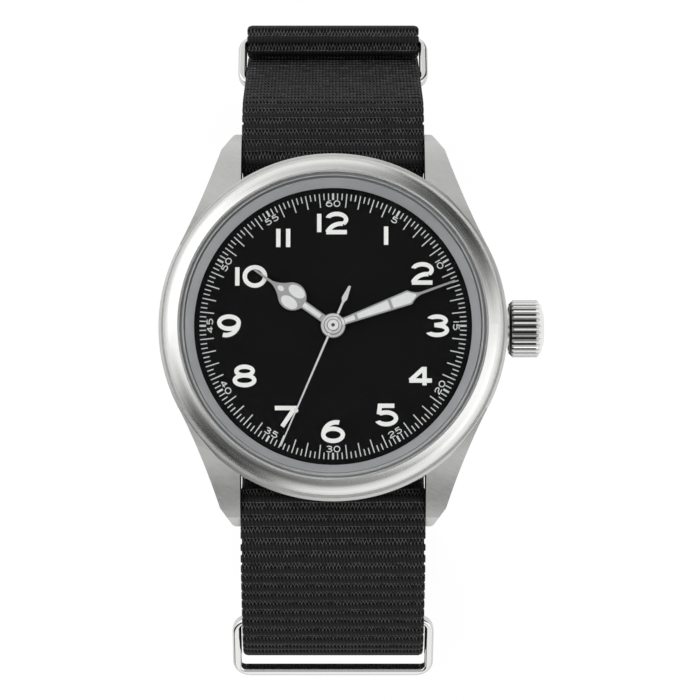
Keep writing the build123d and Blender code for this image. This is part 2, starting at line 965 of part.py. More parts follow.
with BuildPart() as dial_minute_figures:
    for minute in range(5, minutes + 1, 5):
        angle = 90 - 6 * minute
        inward = 15 < minute < 45
        turn = angle + 90 if inward else angle - 90
        with BuildSketch(level(dial_top)):
            with Locations(Location((*toward(minute_ring_r, angle), 0), turn)):
                add(
                    figure_face(
                        str(minute),
                        minute_figure_w,
                        minute_figure_h,
                        minute_stroke,
                        minute_pair_gap,
                    )
                )
        extrude(amount=print_t)
dial_minute_figures.part.label = "dial_minute_figures"
export_step(dial_minute_figures.part, "parts/dial_minute_figures.step")


def hand_plane(height, clockwise):
    """A plane at a hand's height whose second axis points where the hand does."""
    return level(height).rotated((0, 0, -clockwise))


def half_and_mirror(*pieces):
    """Adds a right half outline and its mirror image to the line in the making."""
    for piece in pieces:
        add(piece)
        add(mirror(piece, about=Plane.YZ, mode=Mode.PRIVATE))


# Hour hand: a stem, a broad head with two side windows and a small one, and a fine tip
head_low_r = hour_head_r - hour_head_w / 2 + hand_rim / 2
head_high_r = hour_head_r + hour_head_w / 2
neck_r = hour_head_r + hour_neck_share * hour_head_w
hour_windows_share = {
    "side_x": 0.237,
    "side_w": 0.4,
    "side_h": 0.66,
    "tip_y": 0.54,
    "tip_w": 0.18,
    "tip_h": 0.25,
}


def hour_windows_face():
    """The openings of the hour hand's head and stem."""
    share = hour_windows_share
    with BuildSketch() as face:
        for side in (1, -1):
            with Locations((side * share["side_x"] * hour_head_w, hour_head_r)):
                Ellipse(share["side_w"] * hour_head_w / 2, share["side_h"] * hour_head_w / 2)
        with Locations((0, hour_head_r + share["tip_y"] * hour_head_w)):
            Ellipse(share["tip_w"] * hour_head_w / 2, share["tip_h"] * hour_head_w / 2)
        stem_mid = (hour_hub_r + head_low_r) / 2 + hand_rim
        with Locations((0, stem_mid)):
            Rectangle(hour_stem_w - 2 * hand_rim, head_low_r - hour_hub_r - 2 * hand_rim)
    return face.sketch


def hour_outline():
    """The hour hand's outer shape, pointing along the second axis."""
    stem_x = hour_stem_w / 2
    tip_x = hand_tip_w / 2
    neck_x = hand_neck_w / 2
    shoulder = (hour_shoulder_share * hour_head_w / 2, head_high_r - hand_rim)
    hollow = (hour_hollow_share * hour_head_w / 2, (shoulder[1] + neck_r) / 2)
    with BuildSketch() as face:
        with BuildLine():
            half_and_mirror(
                Edge.make_line((0, 0), (stem_x, 0)),
                Edge.make_line((stem_x, 0), (stem_x, head_low_r)),
                Edge.make_three_point_arc(
                    (stem_x, head_low_r), (hour_head_w / 2, hour_head_r), shoulder
                ),
                Edge.make_three_point_arc(shoulder, hollow, (neck_x, neck_r)),
                Edge.make_line((neck_x, neck_r), (tip_x, hour_hand_len)),
                Edge.make_line((tip_x, hour_hand_len), (0, hour_hand_len)),
            )
        make_face()
        Circle(hour_hub_r)
    return face.sketch


with BuildPart() as hour_hand:
    with BuildSketch(hand_plane(hour_hand_z, hour_angle)):
        add(hour_outline())
        add(hour_windows_face(), mode=Mode.SUBTRACT)
        Circle(hour_pipe_r, mode=Mode.SUBTRACT)
    extrude(amount=hour_hand_t)
hour_hand.part.label = "hour_hand"
export_step(hour_hand.part, "parts/hour_hand.step")

with BuildPart() as hour_hand_lume:
    with BuildSketch(hand_plane(hour_hand_z, hour_angle)):
        add(hour_windows_face())
    extrude(amount=hour_hand_t)
hour_hand_lume.part.label = "hour_hand_lume"
export_step(hour_hand_lume.part, "parts/hour_hand_lume.step")

# Minute hand: widens to its shoulders and has three windows
minute_bar_shares = (0.3, 0.75)


def minute_width(radius):
    """The minute hand's full width at a distance from its hub."""
    span = (radius - minute_hub_r) / (minute_wide_r - minute_hub_r)
    return minute_root_w + span * (minute_hand_w - minute_root_w)


def minute_windows_face():
    """The three openings of the minute hand."""
    low = minute_hub_r + 2 * hand_rim
    bars = [minute_wide_r * share for share in minute_bar_shares]
    spans = [(low, bars[0] - hand_rim), (bars[0] + hand_rim, bars[1] - hand_rim)]
    with BuildSketch() as face:
        for first, last in spans:
            wide_1 = minute_width(first) / 2 - hand_rim
            wide_2 = minute_width(last) / 2 - hand_rim
            with BuildLine():
                Polyline(
                    (wide_1, first), (wide_2, last), (-wide_2, last), (-wide_1, first), close=True
                )
            make_face()
        first = bars[1] + hand_rim
        wide_1 = minute_width(first) / 2 - hand_rim
        wide_2 = minute_hand_w / 2 - hand_rim
        top = minute_neck_r - 3 * hand_rim
        with BuildLine():
            Polyline(
                (wide_1, first),
                (wide_2, minute_wide_r - hand_rim / 2),
                (hand_rim / 2, top),
                (-hand_rim / 2, top),
                (-wide_2, minute_wide_r - hand_rim / 2),
                (-wide_1, first),
                close=True,
            )
        make_face()
    return face.sketch


def minute_outline():
    """The minute hand's outer shape, pointing along the second axis."""
    root = (minute_width(0) / 2, 0)
    wide = (minute_hand_w / 2, minute_wide_r)
    neck = (hand_neck_w / 2, minute_neck_r)
    tip = (hand_tip_w / 2, minute_hand_len)
    hollow = (minute_hollow_share * minute_hand_w / 2, (minute_wide_r + minute_neck_r) / 2)
    with BuildSketch() as face:
        with BuildLine():
            half_and_mirror(
                Edge.make_line((0, 0), root),
                Edge.make_line(root, wide),
                Edge.make_three_point_arc(wide, hollow, neck),
                Edge.make_line(neck, tip),
                Edge.make_line(tip, (0, minute_hand_len)),
            )
        make_face()
        Circle(minute_hub_r)
    return face.sketch


with BuildPart() as minute_hand:
    with BuildSketch(hand_plane(minute_hand_z, minute_angle)):
        add(minute_outline())
        add(minute_windows_face(), mode=Mode.SUBTRACT)
        Circle(cannon_r, mode=Mode.SUBTRACT)
    extrude(amount=minute_hand_t)
minute_hand.part.label = "minute_hand"
export_step(minute_hand.part, "parts/minute_hand.step")

with BuildPart() as minute_hand_lume:
    with BuildSketch(hand_plane(minute_hand_z, minute_angle)):
        add(minute_windows_face())
    extrude(amount=minute_hand_t)
minute_hand_lume.part.label = "minute_hand_lume"
export_step(minute_hand_lume.part, "parts/minute_hand_lume.step")

# Seconds hand: a needle with a spear-shaped counterpoise and a luminous dot
with BuildPart() as seconds_hand:
    with BuildSketch(hand_plane(seconds_hand_z, seconds_angle)):
        spear_y = -seconds_spear_share * seconds_tail_len
        with BuildLine():
            Polyline(
                (seconds_w / 2, 0),
                (seconds_w / 4, seconds_hand_len),
                (-seconds_w / 4, seconds_hand_len),
                (-seconds_w / 2, 0),
                (-seconds_w / 2, seconds_waist_share * spear_y),
                (-seconds_spear_w / 2, spear_y),
                (-seconds_w / 2, -seconds_tail_len),
                (seconds_w / 2, -seconds_tail_len),
                (seconds_spear_w / 2, spear_y),
                (seconds_w / 2, seconds_waist_share * spear_y),
                close=True,
            )
        make_face()
        Circle(seconds_hub_r)
        Circle(arbor_r, mode=Mode.SUBTRACT)
    extrude(amount=seconds_hand_t)
seconds_hand.part.label = "seconds_hand"
export_step(seconds_hand.part, "parts/seconds_hand.step")

with BuildPart() as seconds_hand_lume:
    with BuildSketch(hand_plane(seconds_hand_z + seconds_hand_t, seconds_angle)):
        with Locations((0, seconds_dot_at_r)):
            Circle(seconds_dot_r)
    extrude(amount=print_t)
seconds_hand_lume.part.label = "seconds_hand_lume"
export_step(seconds_hand_lume.part, "parts/seconds_hand_lume.step")

# Where the train's arbors stand
fifth_at = toward(fifth_distance, fifth_direction)
rotor_step = toward(rotor_distance, rotor_direction)
rotor_at = (fifth_at[0] + rotor_step[0], fifth_at[1] + rotor_step[1])
third_at = toward(third_distance, third_direction)
minute_wheel_at = toward(minute_distance, minute_direction)
bridge_top = bridge_z + bridge_t
arbor_sites = [(0, 0), fifth_at, rotor_at, third_at]
plate_top = plate_z + plate_t

with BuildPart() as main_plate:
    with BuildSketch(level(plate_z)):
        Circle(movement_r)
        Circle(cannon_r + run_fit, mode=Mode.SUBTRACT)
        with Locations(*arbor_sites[1:]):
            Circle(pivot_r + run_fit, mode=Mode.SUBTRACT)
        with Locations(*dial_feet):
            Circle(dial_foot_r + slip_fit, mode=Mode.SUBTRACT)
        with Locations(*pillars):
            Circle(screw_r, mode=Mode.SUBTRACT)
    extrude(amount=plate_t)
    with BuildSketch(level(plate_top)):
        with Locations(minute_wheel_at):
            Circle(minute_post_r)
    extrude(amount=dial_z - plate_top - slip_fit)
    with BuildSketch(level(plate_z)):
        with Locations((lever_x, lever_y)):
            Circle(lever_post_r)
    extrude(amount=crown_h - lever_t / 2 - plate_z)
    with BuildSketch(level(plate_z)):
        with Locations((clutch_x + clutch_len / 2, 0)):
            Rectangle(clutch_len + 2 * clutch_room, 2 * (clutch_r + clutch_room))
    extrude(amount=crown_h + clutch_r + clutch_room - plate_z, mode=Mode.SUBTRACT)
main_plate.part.label = "main_plate"
export_step(main_plate.part, "parts/main_plate.step")

with BuildPart() as train_bridge:
    with BuildSketch(level(bridge_z)):
        with Locations((bridge_x, bridge_y)):
            Circle(bridge_r)
        with Locations(*arbor_sites):
            Circle(pivot_r + run_fit, mode=Mode.SUBTRACT)
    extrude(amount=bridge_t)
    with BuildSketch(level(bridge_top)):
        with Locations(*pillars):
            Circle(pillar_r)
    extrude(amount=plate_z - bridge_top)
    with BuildSketch(level(bridge_z)):
        with Locations(*pillars):
            Circle(screw_r + run_fit)
    extrude(amount=plate_z - bridge_z, mode=Mode.SUBTRACT)
train_bridge.part.label = "train_bridge"
export_step(train_bridge.part, "parts/train_bridge.step")

with BuildPart() as movement_screws:
    with BuildSketch(level(bridge_z - screw_head_h)):
        with Locations(*pillars):
            Circle(screw_head_r)
    extrude(amount=screw_head_h)
    with BuildSketch(level(bridge_z - screw_head_h)):
        with Locations(*pillars):
            Circle(screw_r)
    extrude(amount=plate_z + plate_t / 2 - bridge_z + screw_head_h)
    with BuildSketch(level(bridge_z - screw_head_h)):
        with Locations(*pillars):
            Rectangle(2 * screw_head_r + cut_over, screw_slot_w)
    extrude(amount=screw_slot_d, mode=Mode.SUBTRACT)
movement_screws.part.label = "movement_screws"
export_step(movement_screws.part, "parts/movement_screws.step")

with BuildPart() as movement_holder:
    with BuildSketch(level(holder_foot_z)):
        Circle(case_bore_r - back_rim_w - 2 * slip_fit)
        Circle(movement_r + slip_fit, mode=Mode.SUBTRACT)
    extrude(amount=back_t + back_rim_h + slip_fit - holder_foot_z)
    with BuildSketch(level(back_t + back_rim_h + slip_fit)):
        Circle(case_bore_r - slip_fit)
        Circle(movement_r + slip_fit, mode=Mode.SUBTRACT)
    extrude(amount=dial_z - back_t - back_rim_h - slip_fit)
    with BuildSketch(level(plate_z - holder_ledge_t)):
        Circle(movement_r + 2 * slip_fit)
        Circle(movement_r - holder_ledge_w, mode=Mode.SUBTRACT)
    extrude(amount=holder_ledge_t)
    with BuildSketch(crown_disc(movement_r - cut_over)):
        Circle(stem_r + stem_room)
    extrude(amount=case_bore_r, mode=Mode.SUBTRACT)
movement_holder.part.label = "movement_holder"
export_step(movement_holder.part, "parts/movement_holder.step")


def add_gear(height, thickness, teeth, distance, mate_teeth, tooth_direction, at=(0, 0)):
    """A slice of gear teeth, square to the dial's axis."""
    with BuildPart() as slice_of_teeth:
        with BuildSketch(level(height)):
            with Locations(at):
                add(gear_face(teeth, distance, mate_teeth, tooth_direction))
        extrude(amount=thickness)
    return slice_of_teeth.part


def rod(low, high, radius, at=(0, 0)):
    """A round rod or tube blank between two heights."""
    with BuildPart() as blank:
        with BuildSketch(level(low)):
            with Locations(at):
                Circle(radius)
        extrude(amount=high - low)
    return blank.part


# Going train. On each line of centres a wheel's tooth stands in a gap of its pinion.
half_leaf = 180 / rotor_leaves
with BuildPart() as rotor:
    add(
        add_gear(
            fifth_wheel_z - slip_fit,
            pinion_t,
            rotor_leaves,
            rotor_distance,
            fifth_teeth,
            rotor_direction + 180 + half_leaf,
            rotor_at,
        )
    )
    add(rod(bridge_top + slip_fit, plate_z - slip_fit, arbor_r, rotor_at))
    add(rod(bridge_top - pivot_len, plate_z + pivot_len, pivot_r, rotor_at))
    add(rod(magnet_z, magnet_z + magnet_h, magnet_r, rotor_at))
rotor.part.label = "rotor"
export_step(rotor.part, "parts/rotor.step")

with BuildPart() as fifth_wheel:
    add(
        add_gear(
            fifth_wheel_z,
            wheel_t,
            fifth_teeth,
            rotor_distance,
            rotor_leaves,
            rotor_direction,
            fifth_at,
        )
    )
    add(
        add_gear(
            seconds_wheel_z - slip_fit,
            pinion_t - slip_fit,
            fifth_leaves,
            fifth_distance,
            seconds_teeth,
            fifth_direction + 180 + 180 / fifth_leaves,
            fifth_at,
        )
    )
    add(rod(bridge_top + slip_fit, plate_z - slip_fit, arbor_r, fifth_at))
    add(rod(bridge_top - pivot_len, plate_z + pivot_len, pivot_r, fifth_at))
fifth_wheel.part.label = "fifth_wheel"
export_step(fifth_wheel.part, "parts/fifth_wheel.step")

with BuildPart() as seconds_wheel:
    add(
        add_gear(
            seconds_wheel_z,
            wheel_t,
            seconds_teeth,
            fifth_distance,
            fifth_leaves,
            fifth_direction,
        )
    )
    add(
        add_gear(
            third_wheel_z - slip_fit,
            pinion_t - 2 * slip_fit,
            seconds_leaves,
            third_distance,
            third_teeth,
            third_direction + 180 / seconds_leaves,
        )
    )
    add(rod(bridge_top + slip_fit, seconds_hand_z + seconds_hand_t - arbor_inset, arbor_r))
    add(rod(bridge_top - pivot_len, bridge_top + pivot_len, pivot_r))
seconds_wheel.part.label = "seconds_wheel"
export_step(seconds_wheel.part, "parts/seconds_wheel.step")

with BuildPart() as third_wheel:
    add(
        add_gear(
            third_wheel_z,
            wheel_t,
            third_teeth,
            third_distance,
            seconds_leaves,
            third_direction + 180,
            third_at,
        )
    )
    add(
        add_gear(
            centre_wheel_z - slip_fit,
            pinion_t,
            third_leaves,
            third_distance,
            centre_teeth,
            third_direction + 180 + 180 / third_leaves,
            third_at,
        )
    )
    add(rod(bridge_top + slip_fit, plate_z - slip_fit, arbor_r, third_at))
    add(rod(bridge_top - pivot_len, plate_z + pivot_len, pivot_r, third_at))
third_wheel.part.label = "third_wheel"
export_step(third_wheel.part, "parts/third_wheel.step")

with BuildPart() as centre_wheel:
    add(
        add_gear(
            centre_wheel_z,
            wheel_t,
            centre_teeth,
            third_distance,
            third_leaves,
            third_direction,
        )
    )
    add(rod(cannon_foot_z, plate_z, cannon_r + run_fit), mode=Mode.SUBTRACT)
centre_wheel.part.label = "centre_wheel"
export_step(centre_wheel.part, "parts/centre_wheel.step")

# Motion works under the dial
with BuildPart() as cannon_pinion:
    add(rod(cannon_foot_z, minute_hand_z + minute_hand_t, cannon_r))
    add(rod(cannon_foot_z, cannon_foot_z + cannon_flange_t, cannon_flange_r))
    add(
        add_gear(
            motion_z,
            pinion_t,
            cannon_leaves,
            minute_distance,
            minute_teeth,
            minute_direction + 180 / cannon_leaves,
        )
    )
    add(
        rod(cannon_foot_z - cut_over, minute_hand_z + cut_over, cannon_bore_r),
        mode=Mode.SUBTRACT,
    )
cannon_pinion.part.label = "cannon_pinion"
export_step(cannon_pinion.part, "parts/cannon_pinion.step")

with BuildPart() as minute_wheel:
    add(
        add_gear(
            motion_z + slip_fit,
            wheel_t,
            minute_teeth,
            minute_distance,
            cannon_leaves,
            minute_direction + 180,
            minute_wheel_at,
        )
    )
    add(
        add_gear(
            motion_z + slip_fit,
            hour_wheel_z + wheel_t + slip_fit - motion_z,
            minute_leaves,
            minute_distance,
            hour_teeth,
            minute_direction + 180 + 180 / minute_leaves,
            minute_wheel_at,
        )
    )
    add(
        rod(motion_z - cut_over, dial_z, minute_post_r + run_fit, minute_wheel_at),
        mode=Mode.SUBTRACT,
    )
minute_wheel.part.label = "minute_wheel"
export_step(minute_wheel.part, "parts/minute_wheel.step")

with BuildPart() as hour_wheel:
    add(
        add_gear(
            hour_wheel_z,
            wheel_t,
            hour_teeth,
            minute_distance,
            minute_leaves,
            minute_direction,
        )
    )
    add(rod(hour_wheel_z, hour_hand_z + hour_hand_t, hour_pipe_r))
    add(rod(hour_wheel_z - cut_over, minute_hand_z, cannon_r + run_fit), mode=Mode.SUBTRACT)
hour_wheel.part.label = "hour_wheel"
export_step(hour_wheel.part, "parts/hour_wheel.step")

# Motor: stator round the rotor's magnet, coil on a core beside it
stator_y = rotor_at[1]
tab_end_x = coil_x - core_w / 2
stator_right_x = rotor_at[0] + stator_w / 2
with BuildPart() as stator:
    with BuildSketch(level(stator_z)):
        with Locations(rotor_at):
            Rectangle(stator_w, stator_len)
        for side in (1, -1):
            tab_y = stator_y + side * (stator_len - core_w) / 2
            with Locations(((tab_end_x + stator_right_x) / 2, tab_y)):
                Rectangle(stator_right_x - tab_end_x, core_w)
        with Locations(rotor_at):
            Circle(stator_hole_r, mode=Mode.SUBTRACT)
    extrude(amount=stator_t)
stator.part.label = "stator"
export_step(stator.part, "parts/stator.step")

with BuildPart() as coil:
    with BuildSketch(level(stator_z - core_t)):
        with Locations((coil_x, stator_y)):
            Rectangle(core_w, stator_len)
    extrude(amount=core_t)
    winding = Plane(
        origin=(coil_x, stator_y - coil_len / 2, back_z + stator_z - core_t / 2),
        x_dir=(1, 0, 0),
        z_dir=(0, 1, 0),
    )
    with BuildSketch(winding):
        Circle(coil_r)
    extrude(amount=coil_len)
coil.part.label = "coil"
export_step(coil.part, "parts/coil.step")

with BuildPart() as battery:
    with BuildSketch(level(battery_z)):
        with Locations((battery_x, battery_y)):
            Circle(battery_r)
    extrude(amount=battery_h)
    fillet(battery.faces().sort_by(Axis.Z)[0].edges(), radius=battery_edge)
battery.part.label = "battery"
export_step(battery.part, "parts/battery.step")

with BuildPart() as battery_clamp:
    reach_x = clamp_leg_x - battery_x
    reach_y = clamp_leg_y - battery_y
    clamp_angle = math.degrees(math.atan2(reach_y, reach_x))
    with BuildSketch(level(battery_z - clamp_t)):
        with Locations(Location((battery_x + reach_x / 2, battery_y + reach_y / 2, 0), clamp_angle)):
            SlotOverall(math.hypot(reach_x, reach_y) + clamp_w, clamp_w)
    extrude(amount=clamp_t)
    with BuildSketch(level(battery_z)):
        with Locations((clamp_leg_x, clamp_leg_y)):
            Circle(clamp_leg_w / 2)
    extrude(amount=plate_z - battery_z)
battery_clamp.part.label = "battery_clamp"
export_step(battery_clamp.part, "parts/battery_clamp.step")

with BuildPart() as circuit_board:
    with BuildSketch(level(plate_z - board_t)):
        Circle(board_r)
        with Locations((0, board_edge_y + board_r)):
            Rectangle(2 * board_r, 2 * board_r, mode=Mode.SUBTRACT)
        with Locations((clamp_leg_x, clamp_leg_y)):
            Circle(clamp_leg_w, mode=Mode.SUBTRACT)
    extrude(amount=board_t)
    with BuildSketch(level(plate_z - board_t)):
        with Locations((chip_x, chip_y)):
            Rectangle(chip_w, chip_w)
    extrude(amount=-chip_t)
circuit_board.part.label = "circuit_board"
export_step(circuit_board.part, "parts/circuit_board.step")

with BuildPart() as quartz_can:
    can_z = back_z + plate_z - board_t - can_r
    can_plane = Plane(origin=(can_x - can_len / 2, can_y, can_z), x_dir=(0, 1, 0), z_dir=(1, 0, 0))
    with BuildSketch(can_plane):
        Circle(can_r)
    extrude(amount=can_len)
quartz_can.part.label = "quartz_can"
export_step(quartz_can.part, "parts/quartz_can.step")

with BuildPart() as setting_lever:
    with BuildSketch(level(crown_h - lever_t / 2)):
        with Locations((lever_x, lever_y)):
            Circle(lever_hub_r)
        arm_len = lever_y - stem_r - lever_hub_r / 2
        with Locations((lever_x, lever_y - arm_len / 2)):
            Rectangle(lever_arm_w, arm_len)
        with Locations((lever_x, (lever_reach + lever_y) / 2)):
            Rectangle(lever_finger_w, lever_y - lever_reach)
        with Locations((lever_x, lever_y)):
            Circle(lever_post_r + run_fit, mode=Mode.SUBTRACT)
    extrude(amount=lever_t)
setting_lever.part.label = "setting_lever"
export_step(setting_lever.part, "parts/setting_lever.step")

# Spring bars: a tube, a sprung pin at each end, and the spring between them
bar_z = back_z + spring_bar_h
pin_flange_x = bar_tube_len / 2


def bar_disc(x, side):
    """A plane across a spring bar's axis, at a distance along the bar."""
    return Plane(origin=(x, side * spring_bar_y, bar_z), x_dir=(0, 1, 0), z_dir=(1, 0, 0))


for hour_name, side in (("12", 1), ("6", -1)):
    with BuildPart() as spring_bar_tube:
        with BuildSketch(bar_disc(-bar_tube_len / 2, side)):
            Circle(bar_tube_r)
            Circle(bar_bore_r, mode=Mode.SUBTRACT)
        extrude(amount=bar_tube_len)
    spring_bar_tube.part.label = f"spring_bar_tube_{hour_name}"
    export_step(spring_bar_tube.part, f"parts/spring_bar_tube_{hour_name}.step")

    for hand_name, end in (("left", -1), ("right", 1)):
        with BuildPart() as spring_bar_pin:
            inner_x = pin_flange_x - bar_pin_len
            with BuildSketch(bar_disc(end * inner_x, side)):
                Circle(bar_pin_r)
            extrude(amount=end * bar_pin_len)
            with BuildSketch(bar_disc(end * pin_flange_x, side)):
                Circle(bar_tip_r)
            extrude(amount=end * bar_tip_len)
        spring_bar_pin.part.label = f"spring_bar_pin_{hour_name}_{hand_name}"
        export_step(spring_bar_pin.part, f"parts/spring_bar_pin_{hour_name}_{hand_name}.step")

    spring_x = pin_flange_x - bar_pin_len - slip_fit - bar_spring_wire / 2
    coil_path_r = bar_bore_r - slip_fit - bar_spring_wire / 2
    with BuildPart() as spring_bar_spring:
        with BuildLine() as coil_line:
            Helix(
                pitch=2 * spring_x / bar_spring_turns,
                height=2 * spring_x,
                radius=coil_path_r,
                center=(-spring_x, side * spring_bar_y, bar_z),
                direction=(1, 0, 0),
            )
        with BuildSketch(Plane(coil_line.line @ 0, z_dir=coil_line.line % 0)):
            Circle(bar_spring_wire / 2)
        sweep(is_frenet=True)
    spring_bar_spring.part.label = f"spring_bar_spring_{hour_name}"
    export_step(spring_bar_spring.part, f"parts/spring_bar_spring_{hour_name}.step")

# Strap routes, seen from 3 o'clock: first coordinate to 12 o'clock, second up.
# The layers stack up from the table: tail, end of the buckle fold, long band.
tail_z = half_t
fold_z = tail_z + lay
band_z = fold_z + strap_t - sewn_pinch
bar_wrap_r = buckle_bar_r + wrap_gap + half_t
pivot_z = fold_z + bar_wrap_r
loop_z = band_z + loop_r
head_wrap_r = bar_tube_r + wrap_gap + half_t
under_z = back_z - layer_gap - half_t
corner_y = case_bore_r + case_wall_min - corner_in
ring_wrap_r = ring_depth / 2 + wrap_gap + half_t
ring_reach = ring_h - ring_stock
pinch_r = 2 * half_t + layer_gap

# The long band dives on the 12 side along a run between the loop and the shoulder.
shoulder_y = spring_bar_y + shoulder_out
shoulder_z = bar_z + head_wrap_r - shoulder_drop - shoulder_r + half_t
dive_run = tangents([(loop_y, loop_z, loop_r, 1), (shoulder_y, shoulder_z, shoulder_r, 1)])[0]
dive_heading = dive_run[2]
keeper_t = upper_keeper_share * math.dist(dive_run[0], dive_run[1])
keeper_on_band = (
    dive_run[0][0] + keeper_t * math.cos(dive_heading),
    dive_run[0][1] + keeper_t * math.sin(dive_heading),
)
keeper_in = moved_left(keeper_on_band, dive_heading, ring_wrap_r)
keeper_lean = dive_heading + math.pi + math.radians(upper_keeper_turn)
keeper_out = (
    keeper_in[0] + ring_reach * math.cos(keeper_lean),
    keeper_in[1] + ring_reach * math.sin(keeper_lean),
)
flap_ring_in = (-flap_ring_y, flap_ring_z)
low_angle = math.radians(lower_keeper_angle)
low_in_r = loop_r - ring_wrap_r
low_in = (loop_y + low_in_r * math.sin(low_angle), loop_z - low_in_r * math.cos(low_angle))
near_shoulder_z = bar_z + head_wrap_r - near_shoulder_r
tail_end = math.radians(tail_end_angle)
tail_turn_r = 2 * ring_wrap_r + wrap_gap
outer_r = loop_r + 2 * lay

strap_stops = [
    (pivot_y + half_t, fold_z, 0, 0),
    (pivot_y, pivot_z, bar_wrap_r, -1),
    (pivot_y + 2 * bar_wrap_r + pinch_r, band_z + pinch_r, pinch_r, 1),
    (loop_y, loop_z, loop_r, 1),
    (shoulder_y, shoulder_z, shoulder_r, 1),
    (spring_bar_y, bar_z, head_wrap_r, 1),
    (corner_y, under_z + corner_r, corner_r, -1),
    (-corner_y, under_z + corner_r, corner_r, -1),
    (-spring_bar_y, bar_z, head_wrap_r, 1),
    (-spring_bar_y - near_shoulder_out, near_shoulder_z, near_shoulder_r, 1),
    (*flap_ring_in, ring_wrap_r + lay, 1),
    (-fold_y, back_z - fold_drop, fold_r, 1),
    (-left_y, frame_run_z + left_r, left_r, 1),
    (-descend_y, frame_run_z - descend_r, descend_r, -1),
    (-level_y, tail_z + descend_r, descend_r, 1),
    (rise_y, tail_z + rise_r, rise_r, 1),
    (loop_y, loop_z, loop_r + lay, 1),
    (*keeper_out, ring_wrap_r, -1),
    (loop_y, loop_z, outer_r, -1),
    (loop_y + outer_r * math.sin(tail_end), loop_z - outer_r * math.cos(tail_end), 0, 0),
]

strap_runs = tangents(strap_stops)
tongue_stops = [
    (pivot_y - tongue_start, pivot_z + tongue_rise, 0, 0),
    (-tongue_bend_y, pivot_z + tongue_rise - tongue_bend_r, tongue_bend_r, 1),
    (-tongue_level_y, tongue_z + tongue_bend_r, tongue_bend_r, -1),
    (-tongue_tip_y, tongue_z, 0, 0),
]


def crossing(run_a, run_b):
    """Where the lines of two straight runs meet."""
    (ay, az), _, a = run_a
    (by, bz), _, b = run_b
    gap_y = by - ay
    gap_z = bz - az
    along = (gap_y * math.sin(b) - gap_z * math.cos(b)) / math.sin(b - a)
    return (ay + along * math.cos(a), az + along * math.sin(a))


# The descent to the tail is the run in front of the level stop.
descent = strap_runs[13]
tongue_hole = crossing(descent, tangents(tongue_stops)[1])
strap_edges = Wire(route_edges(strap_stops))
hole_start = strap_edges.param_at_point(Vector(*tongue_hole)) * strap_edges.length
flap_r = loop_r - lay
tip_start = math.radians(tail_end_angle) + tail_tip / outer_r
tip_end = math.radians(tail_end_angle) - cut_over / outer_r


def loop_point(radius, angle):
    """A point on the 12 o'clock side's loop, by its angle from straight down."""
    return (loop_y + radius * math.sin(angle), loop_z - radius * math.cos(angle))


def across(point, heading):
    """A plane along the strap at a point: first axis across it, second along its heading."""
    return Plane(
        origin=(0, *point),
        x_dir=(1, 0, 0),
        z_dir=(0, -math.sin(heading), math.cos(heading)),
    )


# Short flap: under the long band from the lower keeper, under the head, to its own ring
bump_1 = low_angle - math.radians(bump_angle)
bump_2 = low_angle + math.radians(bump_angle)
leave = math.radians(flap_leave_angle)
flap_slope_stop = (-flap_slope_y, under_z - lay - flap_slope_r, flap_slope_r, 1)
flap_bar_stop = (*flap_ring_in, ring_wrap_r, -1)
slope_heading = tangents([flap_slope_stop, flap_bar_stop])[0][2]
foot = moved_left(flap_ring_in, slope_heading, ring_wrap_r)
fold_heading = slope_heading + math.pi
pinch_along = 2 * ring_wrap_r + pinch_r


def on_return(along, aside):
    """A point over the flap's sewn fold, by its distance from the ring and above the fold."""
    base = moved_left(foot, fold_heading, strap_t - sewn_pinch + aside)
    return (base[0] + along * math.cos(fold_heading), base[1] + along * math.sin(fold_heading))


flap_pinch_stop = (*on_return(pinch_along, pinch_r), pinch_r, 1)
flap_pinch_run = tangents([flap_bar_stop, flap_pinch_stop])[0]
flap_stops = [
    (*loop_point(flap_r, math.radians(flap_start_angle)), 0, 0),
    (loop_y, loop_z, flap_r, 1),
    (*loop_point(flap_r - bump_r, bump_1), bump_r, 1),
    (*low_in, ring_wrap_r, -1),
    (*loop_point(flap_r - bump_r, bump_2), bump_r, 1),
    (loop_y, loop_z, flap_r, 1),
    (*loop_point(flap_r - flap_bend_r, leave), flap_bend_r, 1),
    (spring_bar_y - flap_top_in, under_z - lay - flap_top_r, flap_top_r, 1),
    flap_slope_stop,
    flap_bar_stop,
    (*flap_pinch_run[1], 0, 0),
]
flap_fold_stops = [
    (*flap_pinch_run[1], 0, 0),
    flap_pinch_stop,
    (*on_return(pinch_along + flap_sewn_len, 0), 0, 0),
]

# Stitches: rows across the buckle fold, the flap's lower end and the flap's own fold
sewn_t = 2 * strap_t - sewn_pinch + 2 * stitch_proud
joined_t = strap_t + lay + 2 * stitch_proud
fold_mid = (fold_z + band_z) / 2
rows = [(across((y, fold_mid), 0), sewn_t) for y in fold_stitch_y]
rows += [
    (across(loop_point(loop_r - lay / 2, math.radians(a)), math.radians(a)), joined_t)
    for a in flap_stitch_angles
]
rows += [
    (across(on_return(at, -(strap_t - sewn_pinch) / 2), fold_heading), sewn_t)
    for at in ring_stitch_at
]
stitches = int((strap_w - stitch_margin) / stitch_pitch)
with BuildPart() as stitching:
    for plane, thickness in rows:
        with BuildSketch(plane):
            with GridLocations(stitch_pitch, 0, stitches, 1):
                Rectangle(stitch_len, stitch_w)
        extrude(amount=thickness / 2, both=True)
stitching.part.label = "stitching"
export_step(stitching.part, "parts/stitching.step")

